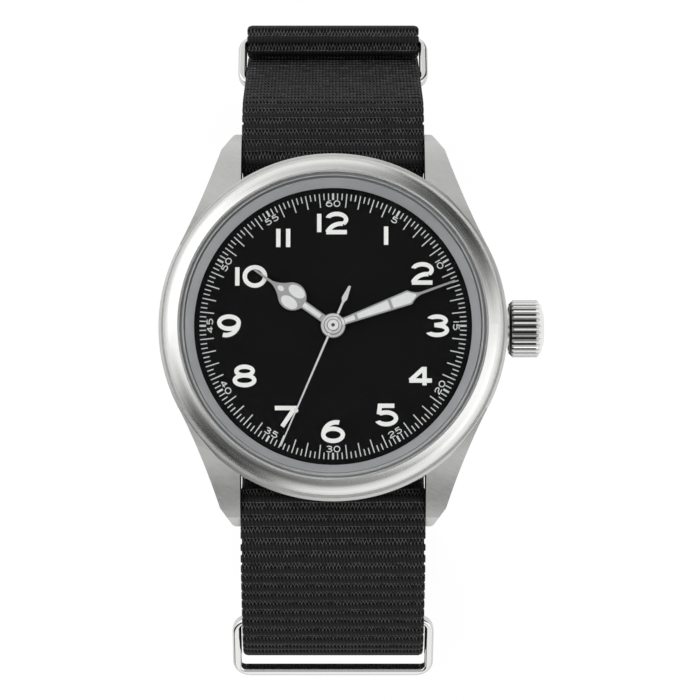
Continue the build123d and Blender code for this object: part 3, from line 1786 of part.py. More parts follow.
with BuildPart() as tip_cut:
    with BuildSketch(Plane.YZ):
        tip_stops = [
            (*loop_point(outer_r, tip_start), 0, 0),
            (loop_y, loop_z, outer_r, -1),
            (*loop_point(outer_r, tip_end), 0, 0),
        ]
        add(band_face(tip_stops, strap_t + layer_gap))
    extrude(amount=strap_w, both=True)
    with BuildSketch(across(loop_point(outer_r, tip_start), tip_start + math.pi)):
        with BuildLine():
            Polyline(
                (-strap_w / 2, -cut_over),
                (-strap_w / 2, 0),
                (-tail_tip_w / 2, tail_tip),
                (tail_tip_w / 2, tail_tip),
                (strap_w / 2, 0),
                (strap_w / 2, -cut_over),
                close=True,
            )
        make_face()
    extrude(amount=tail_tip, both=True, mode=Mode.SUBTRACT)

with BuildPart() as strap:
    with BuildSketch(Plane.YZ):
        add(band_face(strap_stops, strap_t))
    extrude(amount=strap_w / 2, both=True)
    with BuildSketch(Plane.YZ):
        with Locations(((pivot_y + fold_end_y) / 2, fold_z)):
            Rectangle(fold_end_y - pivot_y, strap_t)
    extrude(amount=strap_w / 2, both=True)
    for number in range(-holes_before, holes_after + 1):
        share = (hole_start + number * hole_pitch) / strap_edges.length
        spot = strap_edges @ share
        along = strap_edges % share
        with BuildSketch(across((spot.X, spot.Y), math.atan2(along.Y, along.X))):
            Circle(hole_r)
        extrude(amount=half_t + layer_gap / 2, both=True, mode=Mode.SUBTRACT)
    with BuildSketch(Plane.XY.offset(fold_z - half_t - layer_gap / 2)):
        with Locations((0, pivot_y + (slot_front - slot_back) / 2)):
            Rectangle(slot_w, slot_front + slot_back)
    extrude(amount=2 * bar_wrap_r + 2 * half_t + layer_gap, mode=Mode.SUBTRACT)
    add(tip_cut.part, mode=Mode.SUBTRACT)
    add(stitching.part, mode=Mode.SUBTRACT)
strap.part.label = "strap"
export_step(strap.part, "parts/strap.step")

with BuildPart() as short_flap:
    for stops in (flap_stops, flap_fold_stops):
        with BuildSketch(Plane.YZ):
            add(band_face(stops, strap_t))
        extrude(amount=strap_w / 2, both=True)
    add(stitching.part, mode=Mode.SUBTRACT)
short_flap.part.label = "short_flap"
export_step(short_flap.part, "parts/short_flap.step")


def strap_ring(width, height, bar_at, lean):
    """A rounded rectangular ring, from its near bar's centre toward its far bar."""
    with BuildPart() as ring:
        with BuildSketch(across(bar_at, lean)):
            with Locations((0, (height - ring_stock) / 2)):
                RectangleRounded(width, height, ring_corner_r)
                RectangleRounded(
                    width - 2 * ring_stock,
                    height - 2 * ring_stock,
                    ring_inner_r,
                    mode=Mode.SUBTRACT,
                )
        extrude(amount=ring_depth / 2, both=True)
        fillet(ring.faces().filter_by(GeomType.PLANE).group_by(SortBy.AREA)[-1].edges(), ring_round)
    return ring.part


low_lean = low_angle - math.pi / 2 - math.radians(lower_keeper_lean)
flap_ring_lean = math.pi + math.radians(flap_ring_tilt)
for ring_name, width, height, bar_at, lean in (
    ("upper_keeper", ring_w, ring_h, keeper_in, keeper_lean),
    ("lower_keeper", ring_w, ring_h, low_in, low_lean),
    ("flap_ring", flap_ring_w, flap_ring_h, flap_ring_in, flap_ring_lean),
):
    fitting = strap_ring(width, height, bar_at, lean)
    fitting.label = ring_name
    export_step(fitting, f"parts/{ring_name}.step")

# Buckle: frame with two arms, its bar, and a tongue through a hole of the tail
front_back_y = -front_bar_y + front_bar_w / 2
front_far_y = -front_bar_y - front_bar_w / 2
front_top = front_bar_z + front_bar_t
with BuildPart() as buckle_frame:
    for side in (1, -1):
        arm_x = side * (buckle_w + buckle_inner_w) / 4
        with BuildSketch(Plane.YZ.offset(arm_x)):
            with BuildLine():
                Polyline(
                    (front_far_y, front_bar_z),
                    (-arm_bend_y, front_bar_z),
                    (pivot_y, pivot_z - ear_r),
                    (pivot_y, pivot_z + arm_rise),
                    (-arm_bend_y, front_top),
                    (front_far_y, front_top),
                    close=True,
                )
            make_face()
            with Locations((pivot_y, pivot_z)):
                Circle(ear_r)
        extrude(amount=(buckle_w - buckle_inner_w) / 4, both=True)
    with BuildSketch(Plane.XY.offset(front_bar_z)):
        with Locations((0, -front_bar_y)):
            Rectangle(buckle_w, front_bar_w)
    extrude(amount=front_bar_t)
    fillet(
        buckle_frame.edges().filter_by(Axis.Z).group_by(Axis.Y)[0],
        radius=front_corner_r,
    )
    fillet(
        buckle_frame.faces().filter_by(Axis.Y).sort_by(Axis.Y)[0].edges().filter_by(Axis.X),
        radius=buckle_round,
    )
    with BuildSketch(Plane.YZ.offset(-buckle_w)):
        with Locations((pivot_y, pivot_z)):
            Circle(buckle_bar_r)
    extrude(amount=2 * buckle_w, mode=Mode.SUBTRACT)
    with BuildSketch(Plane.XY.offset(front_bar_z)):
        notch_d = notch_deep_share * front_bar_w
        with Locations((0, front_back_y - notch_d / 2 + cut_over / 2)):
            Rectangle(notch_w, notch_d + cut_over)
    extrude(amount=notch_h, mode=Mode.SUBTRACT)
buckle_frame.part.label = "buckle_frame"
export_step(buckle_frame.part, "parts/buckle_frame.step")

with BuildPart() as buckle_bar:
    with BuildSketch(Plane.YZ.offset(-buckle_w / 2)):
        with Locations((pivot_y, pivot_z)):
            Circle(buckle_bar_r)
    extrude(amount=buckle_w)
buckle_bar.part.label = "buckle_bar"
export_step(buckle_bar.part, "parts/buckle_bar.step")

with BuildPart() as buckle_tongue:
    with BuildSketch(Plane.YZ):
        add(band_face(tongue_stops, tongue_t))
        with Locations((pivot_y, pivot_z)):
            Circle(tongue_eye_r)
            Circle(buckle_bar_r + slip_fit, mode=Mode.SUBTRACT)
    extrude(amount=tongue_w / 2, both=True)
buckle_tongue.part.label = "buckle_tongue"
export_step(buckle_tongue.part, "parts/buckle_tongue.step")
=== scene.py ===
import math

import bmesh
import bpy
from mathutils import Matrix, Vector


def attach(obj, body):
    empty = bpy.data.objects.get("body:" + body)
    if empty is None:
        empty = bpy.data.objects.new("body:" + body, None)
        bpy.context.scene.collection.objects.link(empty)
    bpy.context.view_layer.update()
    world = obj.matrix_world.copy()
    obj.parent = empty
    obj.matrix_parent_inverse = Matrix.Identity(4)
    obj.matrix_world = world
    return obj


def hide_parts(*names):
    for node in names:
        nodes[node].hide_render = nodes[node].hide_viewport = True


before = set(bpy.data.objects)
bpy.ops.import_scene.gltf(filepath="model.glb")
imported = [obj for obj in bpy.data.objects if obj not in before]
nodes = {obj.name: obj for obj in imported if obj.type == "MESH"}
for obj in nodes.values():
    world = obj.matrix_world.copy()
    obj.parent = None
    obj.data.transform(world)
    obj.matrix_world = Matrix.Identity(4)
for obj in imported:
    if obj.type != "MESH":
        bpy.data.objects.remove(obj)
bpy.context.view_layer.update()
scene = bpy.context.scene
MM = 0.001

# Strap values in millimetres, the same as in the solids
back_z = 46.0
strap_w = 20.0
strap_t = 1.2
layer_gap = 0.15
sewn_pinch = 0.05
half_t = strap_t / 2
lay = strap_t + layer_gap
sewn = strap_t - sewn_pinch
fold_z = half_t + lay
band_z = fold_z + sewn
fold_end_y = 12.0
bar_wrap_r = 1.45
pivot = (-4.0, fold_z + bar_wrap_r)
spring_bar_y = 19.35
spring_bar_h = 2.6
bar_z = back_z + spring_bar_h
head_wrap_r = 1.6
under_z = back_z - layer_gap - half_t
corner_y = 15.85
corner_r = 2.05
ring_wrap_r = 1.35
pinch_r = 1.35
loop_y = 16.2
loop_r = 18.8
loop_z = band_z + loop_r
shoulder_y = 21.2
shoulder_drop = 1.1
shoulder_r = 5.0
shoulder = (shoulder_y, bar_z + head_wrap_r - shoulder_drop - shoulder_r + half_t, shoulder_r)
near_shoulder_y = 22.8
near_shoulder_r = 6.0
fold_y = 33.8
fold_drop = 6.6
fold_r = 1.5
frame_run_z = 2.5
left_y = 16.8
left_r = 18.5
descend_y = 12.3
descend_r = 3.0
level_y = 6.0
rise_y = 12.0
rise_r = 15.0
upper_keeper_share = 0.255
keeper_turn = math.radians(40)
ring_reach = 6.2
flap_ring = (-31.9, 40.7)
outer_r = loop_r + 2 * lay
tail_end = math.radians(42)
low_angle = math.radians(60)

# Flap values in millimetres, the same as in the solids
flap_start = math.radians(38)
flap_leave = math.radians(98)
bump = math.radians(12)
bump_r = 2.0
flap_bend_r = 4.0
flap_top_y = 17.5
flap_top_r = 3.0
flap_slope_y = 14.0
flap_slope_r = 8.0
flap_pinch_along = 4.05
flap_end_along = 11.05

# Crown and hand values in millimetres
crown_z = back_z + 3.8
crown_r = 3.15
crown_flute_r = 0.25
crown_end = 22.8
hub_rims = (0.62, 0.97, 1.32)
# How far from each hub rim its painted shade ring is darkest and where it fades out, in millimetres
hub_shade_widths = (0.02, 0.065)
hub_edge = (1.36, 1.50)

# Values of the ribs, the tail's tip and the holes, in millimetres but for the share. The webbing is
# a hair wider than the band in the solids.
webbing_w = 20.16
rib_pitch = 1.27
rib_share = 0.50
tooth_pitch = 0.385
rib_depth = 0.17
edge_pull = 0.15
lug_reach_y = 22.4
tip_len = 7.0
tip_w = 9.0
hole_r = 1.25
hole_pitch = 7.5
first_hole, last_hole = -3, 7
tongue_hole = (-11.11, 2.26)
slot_at = (0, pivot[0] + 0.1, 4.28)
slot_size = (1.8, 4.8, 6)


# Routes of the webbing, seen from 3 o'clock


def tangents(stops):
    """The straight runs of a route: each one's start, end and heading."""
    runs = []
    for (y1, z1, r1, turn1), (y2, z2, r2, turn2) in zip(stops, stops[1:]):
        gap_y, gap_z = y2 - y1, z2 - z1
        aside = turn2 * r2 - turn1 * r1
        along = math.sqrt(max(gap_y**2 + gap_z**2 - aside**2, 0))
        heading = math.atan2(gap_z, gap_y) - math.atan2(aside, along)
        left = (-math.sin(heading), math.cos(heading))
        start = (y1 - turn1 * r1 * left[0], z1 - turn1 * r1 * left[1])
        end = (y2 - turn2 * r2 * left[0], z2 - turn2 * r2 * left[1])
        runs.append((start, end, heading))
    return runs


def stretches(stops):
    """A route as straights and arcs: length, start, heading and the signed bend of each."""
    runs = tangents(stops)
    found = []
    for index, (start, end, heading) in enumerate(runs):
        found.append((math.dist(start, end), start, heading, 0.0))
        if index + 1 < len(runs):
            y, z, radius, turn = stops[index + 1]
            sweep = (runs[index + 1][2] - heading) % (2 * math.pi)
            if turn < 0 and sweep > 0:
                sweep = 2 * math.pi - sweep
            if min(sweep, 2 * math.pi - sweep) > 1e-6:
                found.append((sweep * radius, end, heading, turn / radius))
    return [part for part in found if part[0] > 1e-6]


def spot(parts, along):
    """The point and heading at a length along a route."""
    for length, (y, z), heading, bend in parts:
        if along <= length or (length, (y, z), heading, bend) == parts[-1]:
            if bend == 0:
                return (y + along * math.cos(heading), z + along * math.sin(heading)), heading
            now = heading + bend * along
            y += (math.sin(now) - math.sin(heading)) / bend
            z -= (math.cos(now) - math.cos(heading)) / bend
            return (y, z), now
        along -= length


def beside(point, heading, shift):
    """A point moved to the left of its heading."""
    return (point[0] - shift * math.sin(heading), point[1] + shift * math.cos(heading))


def loop_point(radius, angle):
    """A point on the loop at 12 o'clock, by its angle from straight down."""
    return (loop_y + radius * math.sin(angle), loop_z - radius * math.cos(angle))


dive_start, dive_end, dive_heading = tangents([(loop_y, loop_z, loop_r, 1), (*shoulder, 1)])[0]
dive_len = upper_keeper_share * math.dist(dive_start, dive_end)
keeper_on_band = (
    dive_start[0] + dive_len * math.cos(dive_heading),
    dive_start[1] + dive_len * math.sin(dive_heading),
)
keeper_in = beside(keeper_on_band, dive_heading, ring_wrap_r)
keeper_lean = dive_heading + math.pi + keeper_turn
keeper_out = (
    keeper_in[0] + ring_reach * math.cos(keeper_lean),
    keeper_in[1] + ring_reach * math.sin(keeper_lean),
)
low_in = loop_point(loop_r - ring_wrap_r, low_angle)

strap_stops = [
    (fold_end_y, fold_z, 0, 0),
    (*pivot, bar_wrap_r, -1),
    (pivot[0] + 2 * bar_wrap_r + pinch_r, band_z + pinch_r, pinch_r, 1),
    (loop_y, loop_z, loop_r, 1),
    (*shoulder, 1),
    (spring_bar_y, bar_z, head_wrap_r, 1),
    (corner_y, under_z + corner_r, corner_r, -1),
    (-corner_y, under_z + corner_r, corner_r, -1),
    (-spring_bar_y, bar_z, head_wrap_r, 1),
    (-near_shoulder_y, bar_z + head_wrap_r - near_shoulder_r, near_shoulder_r, 1),
    (*flap_ring, ring_wrap_r + lay, 1),
    (-fold_y, back_z - fold_drop, fold_r, 1),
    (-left_y, frame_run_z + left_r, left_r, 1),
    (-descend_y, frame_run_z - descend_r, descend_r, -1),
    (-level_y, half_t + descend_r, descend_r, 1),
    (rise_y, half_t + rise_r, rise_r, 1),
    (loop_y, loop_z, loop_r + lay, 1),
    (*keeper_out, ring_wrap_r, -1),
    (loop_y, loop_z, outer_r, -1),
    (*loop_point(outer_r, tail_end), 0, 0),
]

flap_r = loop_r - lay
flap_slope_stop = (-flap_slope_y, under_z - lay - flap_slope_r, flap_slope_r, 1)
flap_bar_stop = (*flap_ring, ring_wrap_r, -1)
slope_heading = tangents([flap_slope_stop, flap_bar_stop])[0][2]
fold_heading = slope_heading + math.pi
foot = beside(flap_ring, slope_heading, ring_wrap_r)


def on_return(along, aside):
    """A point over the flap's fold, by its distance from the ring and above the fold."""
    y, z = beside(foot, fold_heading, sewn + aside)
    return (y + along * math.cos(fold_heading), z + along * math.sin(fold_heading))


flap_stops = [
    (*loop_point(flap_r, flap_start), 0, 0),
    (loop_y, loop_z, flap_r, 1),
    (*loop_point(flap_r - bump_r, low_angle - bump), bump_r, 1),
    (*low_in, ring_wrap_r, -1),
    (*loop_point(flap_r - bump_r, low_angle + bump), bump_r, 1),
    (loop_y, loop_z, flap_r, 1),
    (*loop_point(flap_r - flap_bend_r, flap_leave), flap_bend_r, 1),
    (flap_top_y, under_z - lay - flap_top_r, flap_top_r, 1),
    flap_slope_stop,
    flap_bar_stop,
    (*on_return(flap_pinch_along, pinch_r), pinch_r, 1),
    (*on_return(flap_end_along, 0), 0, 0),
]

# Mesh helpers


def finished(bm, name, smooth=True):
    """A bmesh in metres as a named piece with its normals pointing out."""
    bmesh.ops.recalc_face_normals(bm, faces=bm.faces)
    mesh = bpy.data.meshes.new(name)
    bm.to_mesh(mesh)
    bm.free()
    piece = bpy.data.objects.new(name, mesh)
    scene.collection.objects.link(piece)
    for face in mesh.polygons:
        face.use_smooth = smooth
    return piece


across_shares = (-1, -0.985, -0.95, -0.62, 0, 0.62, 0.95, 0.985, 1)
across_thickness = (0.40, 0.80, 1, 1, 1, 1, 1, 0.80, 0.40)
along_shares = (0.02, rib_share - 0.02, rib_share + 0.06, 0.94)
groove_columns = (False, False, True, True)


def webbing(name, stops, tip=False):
    """A ribbed strap laid along a route, with its weave's map in millimetres."""
    parts = stretches(stops)
    total = sum(part[0] for part in parts)
    ribs = int(total / rib_pitch)
    columns = 4 * ribs
    rows = len(across_shares) - 1
    bm = bmesh.new()
    bmesh.ops.create_grid(bm, x_segments=columns - 1, y_segments=rows, size=1)
    grown = bmesh.ops.extrude_face_region(bm, geom=list(bm.faces), use_keep_orig=True)
    upper = [item for item in grown["geom"] if isinstance(item, bmesh.types.BMVert)]
    bmesh.ops.translate(bm, verts=upper, vec=(0, 0, 1))
    stretch = total / (ribs * rib_pitch)
    flat = {}
    for vert in bm.verts:
        column = round((vert.co.x + 1) / 2 * (columns - 1))
        row = round((vert.co.y + 1) / 2 * rows)
        rib, place = divmod(column, 4)
        along = (rib + along_shares[place]) * rib_pitch * stretch
        along = 0.0 if column == 0 else total if column == columns - 1 else along
        side = across_shares[row] * webbing_w / 2
        thick = half_t * across_thickness[row]
        if groove_columns[place]:
            thick -= rib_depth
            if row in (0, rows) and abs(spot(parts, along)[0][0]) > lug_reach_y:
                side -= math.copysign(edge_pull, side)
        if tip and along > total - tip_len:
            share = (along - total + tip_len) / tip_len
            side *= 1 - share * (1 - tip_w / strap_w)
        flat[vert] = (along, side, thick if vert.co.z > 0.5 else -thick)
    weave = bm.loops.layers.uv.new("weave")
    for face in bm.faces:
        for loop in face.loops:
            along, side, _ = flat[loop.vert]
            loop[weave].uv = (side + strap_w / 2, along / stretch)
    for vert in bm.verts:
        along, side, lift = flat[vert]
        point, heading = spot(parts, along)
        y, z = beside(point, heading, lift)
        vert.co = Vector((side, y, z)) * MM
    return finished(bm, name), parts, total


def carve(piece, cutter):
    """Cuts one piece out of another and drops the cutter."""
    modifier = piece.modifiers.new("carve", "BOOLEAN")
    modifier.operation = "DIFFERENCE"
    modifier.solver = "EXACT"
    modifier.object = cutter
    depsgraph = bpy.context.evaluated_depsgraph_get()
    carved = bpy.data.meshes.new_from_object(piece.evaluated_get(depsgraph))
    piece.modifiers.clear()
    piece.data = carved
    bpy.data.objects.remove(cutter)


def across_route(parts, along):
    """A turn and place across the strap at a length along its route."""
    (y, z), heading = spot(parts, along)
    turn = Matrix.Rotation(heading, 4, "X")
    return Matrix.Translation(Vector((0, y, z))) @ turn


strap_piece, strap_parts, strap_len = webbing("strap_webbing", strap_stops, tip=True)
flap_piece = webbing("flap_webbing", flap_stops)[0]

# The tail's round holes, counted from the one that the tongue goes through, and the tongue's slot in
# the fold round the buckle's bar
steps_per_mm = 20
hole_at = min(
    (math.dist(spot(strap_parts, step / steps_per_mm)[0], tongue_hole), step / steps_per_mm)
    for step in range(int(strap_len * steps_per_mm))
)[1]
cutter_mesh = bmesh.new()
for number in range(first_hole, last_hole + 1):
    place = across_route(strap_parts, hole_at + number * hole_pitch)
    bmesh.ops.create_cone(
        cutter_mesh,
        cap_ends=True,
        segments=28,
        radius1=hole_r,
        radius2=hole_r,
        depth=lay,
        matrix=place,
    )
slot = Matrix.Translation(Vector(slot_at)) @ Matrix.Diagonal((*slot_size, 1))
bmesh.ops.create_cube(cutter_mesh, size=1, matrix=slot)
bmesh.ops.scale(cutter_mesh, verts=cutter_mesh.verts, vec=(MM, MM, MM))
carve(strap_piece, finished(cutter_mesh, "hole_cutter", smooth=False))

# Materials


def socket_set(node, values):
    """Sets a node's inputs by name."""
    for key, value in values.items():
        node.inputs[key].default_value = value


def new_material(name, colour, metallic=0.0, roughness=0.5, **more):
    """A plain Principled material, and its tree and shader."""
    material = bpy.data.materials.new(name)
    material.use_nodes = True
    tree = material.node_tree
    shader = tree.nodes["Principled BSDF"]
    socket_set(shader, {"Base Color": (*colour, 1), "Metallic": metallic, "Roughness": roughness})
    socket_set(shader, {key.replace("_", " "): value for key, value in more.items()})
    return material, tree, shader


class Net:
    """Adds nodes to a tree in few words."""

    def __init__(self, tree):
        self.tree = tree

    def node(self, kind, **settings):
        made = self.tree.nodes.new(kind)
        for key, value in settings.items():
            setattr(made, key, value)
        return made

    def feed(self, socket, value):
        if isinstance(value, bpy.types.NodeSocket):
            self.tree.links.new(value, socket)
        elif value is not None:
            socket.default_value = value

    def math(self, operation, a, b=None, c=None, clamp=False):
        made = self.node("ShaderNodeMath", operation=operation, use_clamp=clamp)
        for socket, value in zip(made.inputs, (a, b, c)):
            self.feed(socket, value)
        return made.outputs[0]

    def ramp(self, value, low, high, to_low=0.0, to_high=1.0):
        made = self.node("ShaderNodeMapRange", interpolation_type="SMOOTHSTEP")
        for socket, item in zip(made.inputs, (value, low, high, to_low, to_high)):
            self.feed(socket, item)
        return made.outputs[0]

    def mix(self, share, a, b):
        made = self.node("ShaderNodeMix", data_type="FLOAT")
        for socket, item in zip((made.inputs[0], made.inputs[2], made.inputs[3]), (share, a, b)):
            self.feed(socket, item)
        return made.outputs[0]

    def colour(self, share, a, b):
        made = self.node("ShaderNodeMix", data_type="RGBA")
        for socket, item in zip((made.inputs[0], made.inputs[6], made.inputs[7]), (share, a, b)):
            self.feed(socket, item)
        return made.outputs[2]

    def split(self, vector):
        made = self.node("ShaderNodeSeparateXYZ")
        self.feed(made.inputs[0], vector)
        return made.outputs

    def join(self, x, y, z):
        made = self.node("ShaderNodeCombineXYZ")
        for socket, item in zip(made.inputs, (x, y, z)):
            self.feed(socket, item)
        return made.outputs[0]

    def noise(self, vector, scale, detail=2.0, roughness=0.5):
        made = self.node("ShaderNodeTexNoise")
        self.feed(made.inputs["Vector"], vector)
        socket_set(made, {"Scale": scale, "Detail": detail, "Roughness": roughness})
        return made.outputs[0]

    def reach(self, vector):
        """How far a place is from the upright axis."""
        x, y, _ = self.split(vector)
        square = self.math("MULTIPLY_ADD", y, y, self.math("MULTIPLY", x, x))
        return self.math("SQRT", square)

    def place(self, vector, turn=0.0, scale=(1, 1, 1)):
        made = self.node("ShaderNodeMapping")
        self.feed(made.inputs["Vector"], vector)
        socket_set(made, {"Rotation": (0, 0, turn), "Scale": scale})
        return made.outputs[0]

    def object_place(self):
        return self.node("ShaderNodeTexCoord").outputs["Object"]

    def bump(self, height, distance, strength=1.0):
        made = self.node("ShaderNodeBump")
        self.feed(made.inputs["Height"], height)
        socket_set(made, {"Distance": distance, "Strength": strength})
        return made.outputs[0]


def new_group(name, inputs, outputs):
    """An empty shader node group with named sockets, and its net, input and output nodes."""
    group = bpy.data.node_groups.new(name, "ShaderNodeTree")
    for label, kind in inputs:
        group.interface.new_socket(label, in_out="INPUT", socket_type=kind)
    for label, kind in outputs:
        group.interface.new_socket(label, in_out="OUTPUT", socket_type=kind)
    net = Net(group)
    return group, net, net.node("NodeGroupInput"), net.node("NodeGroupOutput")


def use_group(net, group, **inputs):
    """Places a node group and feeds its inputs."""
    made = net.node("ShaderNodeGroup")
    made.node_tree = group
    for key, value in inputs.items():
        net.feed(made.inputs[key.replace("_", " ")], value)
    return made.outputs


# Brushing: fine scratches along the first axis of the place that it is given
brushing, net, given, out = new_group(
    "brushing",
    [("Place", "NodeSocketVector"), ("Fineness", "NodeSocketFloat")],
    [("Scratch", "NodeSocketFloat")],
)
x, y, z = net.split(given.outputs["Place"])
fine = net.math("MULTIPLY", y, given.outputs["Fineness"])
fine_z = net.math("MULTIPLY", z, given.outputs["Fineness"])
coarse = net.math("MULTIPLY", x, 250.0)
streak = net.noise(net.join(coarse, fine, fine_z), 1.0, 4.0, 0.65)
net.feed(out.inputs["Scratch"], net.ramp(streak, 0.25, 0.75))

# Ribbed weave: flat bands of cord with rows of crossed threads between them, with painted highlights
# on the bands' edges, the groove walls and the strands, and painted shade on the groove floors
weave_group, net, given, out = new_group(
    "ribbed weave",
    [("Map", "NodeSocketVector")],
    [("Shade", "NodeSocketFloat"), ("Lift", "NodeSocketFloat")],
)
u, v, _ = net.split(given.outputs["Map"])
wander = net.noise(net.place(given.outputs["Map"], scale=(0.6, 0.6, 0.6)), 1.0, 2.0)
v = net.math("ADD", v, net.math("MULTIPLY_ADD", wander, 0.16, -0.08))
phase = net.math("FRACT", net.math("DIVIDE", v, rib_pitch))
groove_middle = (1 + rib_share) / 2
off_middle = net.math("ABSOLUTE", net.math("SUBTRACT", phase, groove_middle))
groove = net.ramp(off_middle, (1 - rib_share) / 2, (1 - rib_share) / 2 - 0.02)
ripple = net.noise(net.place(given.outputs["Map"], scale=(1.4, 0.5, 1)), 1.0, 2.0)
u_wander = net.math("ADD", u, net.math("MULTIPLY_ADD", ripple, 0.24, -0.12))
tooth = net.math("FRACT", net.math("DIVIDE", u_wander, tooth_pitch))
zigzag = net.math("ABSOLUTE", net.math("MULTIPLY_ADD", tooth, 2.0, -1.0))
height = net.ramp(phase, rib_share, 1.0)
strand_gap = net.math("ABSOLUTE", net.math("SUBTRACT", zigzag, height))
strand = net.ramp(strand_gap, 0.30, 0.06)
uneven = net.noise(net.place(given.outputs["Map"], scale=(1.3, 1.9, 1)), 1.0, 1.0)
strand = net.math("MULTIPLY", strand, net.ramp(uneven, 0.28, 0.62, 0.25, 1.0))
thread = net.math("SINE", net.math("MULTIPLY", u_wander, 2 * math.pi / tooth_pitch))
# Painted highlight: a bright line on the bands' edges and the groove walls, where light catches them,
# made uneven by noise
band_edge_highlight_mask = net.ramp(off_middle, 0.33, 0.28)
speckle = net.noise(net.place(given.outputs["Map"], scale=(3, 3, 3)), 1.0, 3.0)
highlight_unevenness = net.noise(net.place(given.outputs["Map"], scale=(1.1, 2.4, 1)), 1.0, 3.0)
highlight_unevenness = net.ramp(highlight_unevenness, 0.35, 0.7)
band_shade = net.math("MULTIPLY_ADD", thread, 0.045, 0.085)
painted_edge_highlight = net.math("MULTIPLY", band_edge_highlight_mask, net.math("MULTIPLY_ADD", highlight_unevenness, 0.60, 0.30))
painted_edge_highlight = net.math("MULTIPLY", painted_edge_highlight, net.math("MULTIPLY_ADD", thread, 0.38, 0.62))
band_shade = net.math("ADD", band_shade, painted_edge_highlight)
# The strands are painted lighter than the bands as a highlight, and the groove floor between them
# keeps the dark colour as painted shade
groove_shade = net.math("MULTIPLY", strand, 1.15)
shade = net.mix(groove, band_shade, groove_shade)
shade = net.math("MULTIPLY", shade, net.math("MULTIPLY_ADD", speckle, 0.9, 0.55), clamp=True)
net.feed(out.inputs["Shade"], shade)
band_lift = net.math("MULTIPLY_ADD", thread, 0.03, 0.9)
net.feed(out.inputs["Lift"], net.mix(groove, band_lift, net.math("MULTIPLY", strand, 0.75)))


scratch_depth = 2e-6


def brushed_metal(name, colour, roughness, turn=0.0):
    """Metal brushed in straight lines, turned about the dial's axis."""
    material, tree, shader = new_material(name, colour, 1.0, roughness)
    net = Net(tree)
    place = net.place(net.object_place(), turn)
    scratch = use_group(net, brushing, Place=place, Fineness=9000.0)[0]
    net.feed(shader.inputs["Roughness"], net.mix(scratch, roughness - 0.05, roughness + 0.07))
    dark = tuple(part * 0.86 for part in colour)
    net.feed(shader.inputs["Base Color"], net.colour(scratch, (*dark, 1), (*colour, 1)))
    net.feed(shader.inputs["Normal"], net.bump(scratch, scratch_depth))
    return material


def turned_steel(name, colour, roughness, tangent=True):
    """Steel brushed in circles about the dial's axis."""
    material, tree, shader = new_material(name, colour, 1.0, roughness)
    net = Net(tree)
    x, y, z = net.split(net.object_place())
    reach = net.reach(net.object_place())
    angle = net.math("ARCTAN2", y, x)
    place = net.join(net.math("MULTIPLY", angle, 0.01), reach, z)
    scratch = use_group(net, brushing, Place=place, Fineness=12000.0)[0]
    net.feed(shader.inputs["Roughness"], net.mix(scratch, roughness - 0.04, roughness + 0.05))
    dark = tuple(part * 0.9 for part in colour)
    net.feed(shader.inputs["Base Color"], net.colour(scratch, (*dark, 1), (*colour, 1)))
    net.feed(shader.inputs["Normal"], net.bump(scratch, scratch_depth))
    if tangent:
        shader.inputs["Anisotropic"].default_value = 0.8
        along = net.node("ShaderNodeTangent", direction_type="RADIAL", axis="Z")
        net.feed(shader.inputs["Tangent"], along.outputs[0])
    return material


def speckled(name, colour, roughness, metallic=0.0, amount=0.1, scale=3000.0, depth=0.0, **more):
    """A finish whose colour and gloss vary a little from place to place."""
    material, tree, shader = new_material(name, colour, metallic, roughness, **more)
    net = Net(tree)
    grain = net.noise(net.object_place(), scale, 3.0)
    dark = tuple(part * (1 - amount) for part in colour)
    light = tuple(min(part * (1 + amount), 1) for part in colour)
    net.feed(shader.inputs["Base Color"], net.colour(grain, (*dark, 1), (*light, 1)))
    net.feed(shader.inputs["Roughness"], net.mix(grain, max(roughness - 0.04, 0), roughness + 0.04))
    if depth:
        net.feed(shader.inputs["Normal"], net.bump(grain, depth))
    return material


def hand_material(name, colour, arm_share):
    """Frosted steel, darker on the arms, with thin rings of painted shade where each hub disc steps
    down to the one below.
    """
    material, tree, shader = new_material(name, colour, 0.35, 0.4)
    net = Net(tree)
    reach = net.reach(net.object_place())
    # Painted shade: a thin dark ring at each hub rim, where the disc above shades the one below
    hub_shade_ring = 0.0
    for radius in hub_rims:
        away = net.math("ABSOLUTE", net.math("SUBTRACT", reach, radius * MM))
        hub_shade_ring = net.math("MAXIMUM", hub_shade_ring, net.ramp(away, hub_shade_widths[1] * MM, hub_shade_widths[0] * MM))
    grain = net.noise(net.object_place(), 9000.0, 3.0)
    shade = net.math("MULTIPLY_ADD", grain, 0.12, 0.92)
    shade = net.math("MULTIPLY", shade, net.math("MULTIPLY_ADD", hub_shade_ring, -0.75, 1.0))
    arm = net.ramp(reach, hub_edge[0] * MM, hub_edge[1] * MM, 1.0, arm_share)
    shade = net.math("MULTIPLY", shade, arm)
    net.feed(shader.inputs["Base Color"], net.colour(shade, (0, 0, 0, 1), (*colour, 1)))
    net.feed(shader.inputs["Normal"], net.bump(grain, 2e-6))
    return material


def steel_with_painted_flute_shade(name, colour, roughness):
    """Polished steel with painted shade at the floors of the crown's flutes, but not near its outer
    end.
    """
    material, tree, shader = new_material(name, colour, 1.0, roughness)
    net = Net(tree)
    x, y, z = net.split(net.object_place())
    upright = net.join(y, net.math("SUBTRACT", z, crown_z * MM), 0.0)
    depth = net.ramp(net.reach(upright), (crown_r - crown_flute_r) * MM, (crown_r - 0.09) * MM)
    along = net.ramp(x, (crown_end - 0.75) * MM, (crown_end - 0.55) * MM)
    shade = net.math("MAXIMUM", depth, along)
    # Painted shade at the flute floors: 3 % of the steel's colour
    dark = tuple(part * 0.03 for part in colour)
    net.feed(shader.inputs["Base Color"], net.colour(shade, (*dark, 1), (*colour, 1)))
    return material


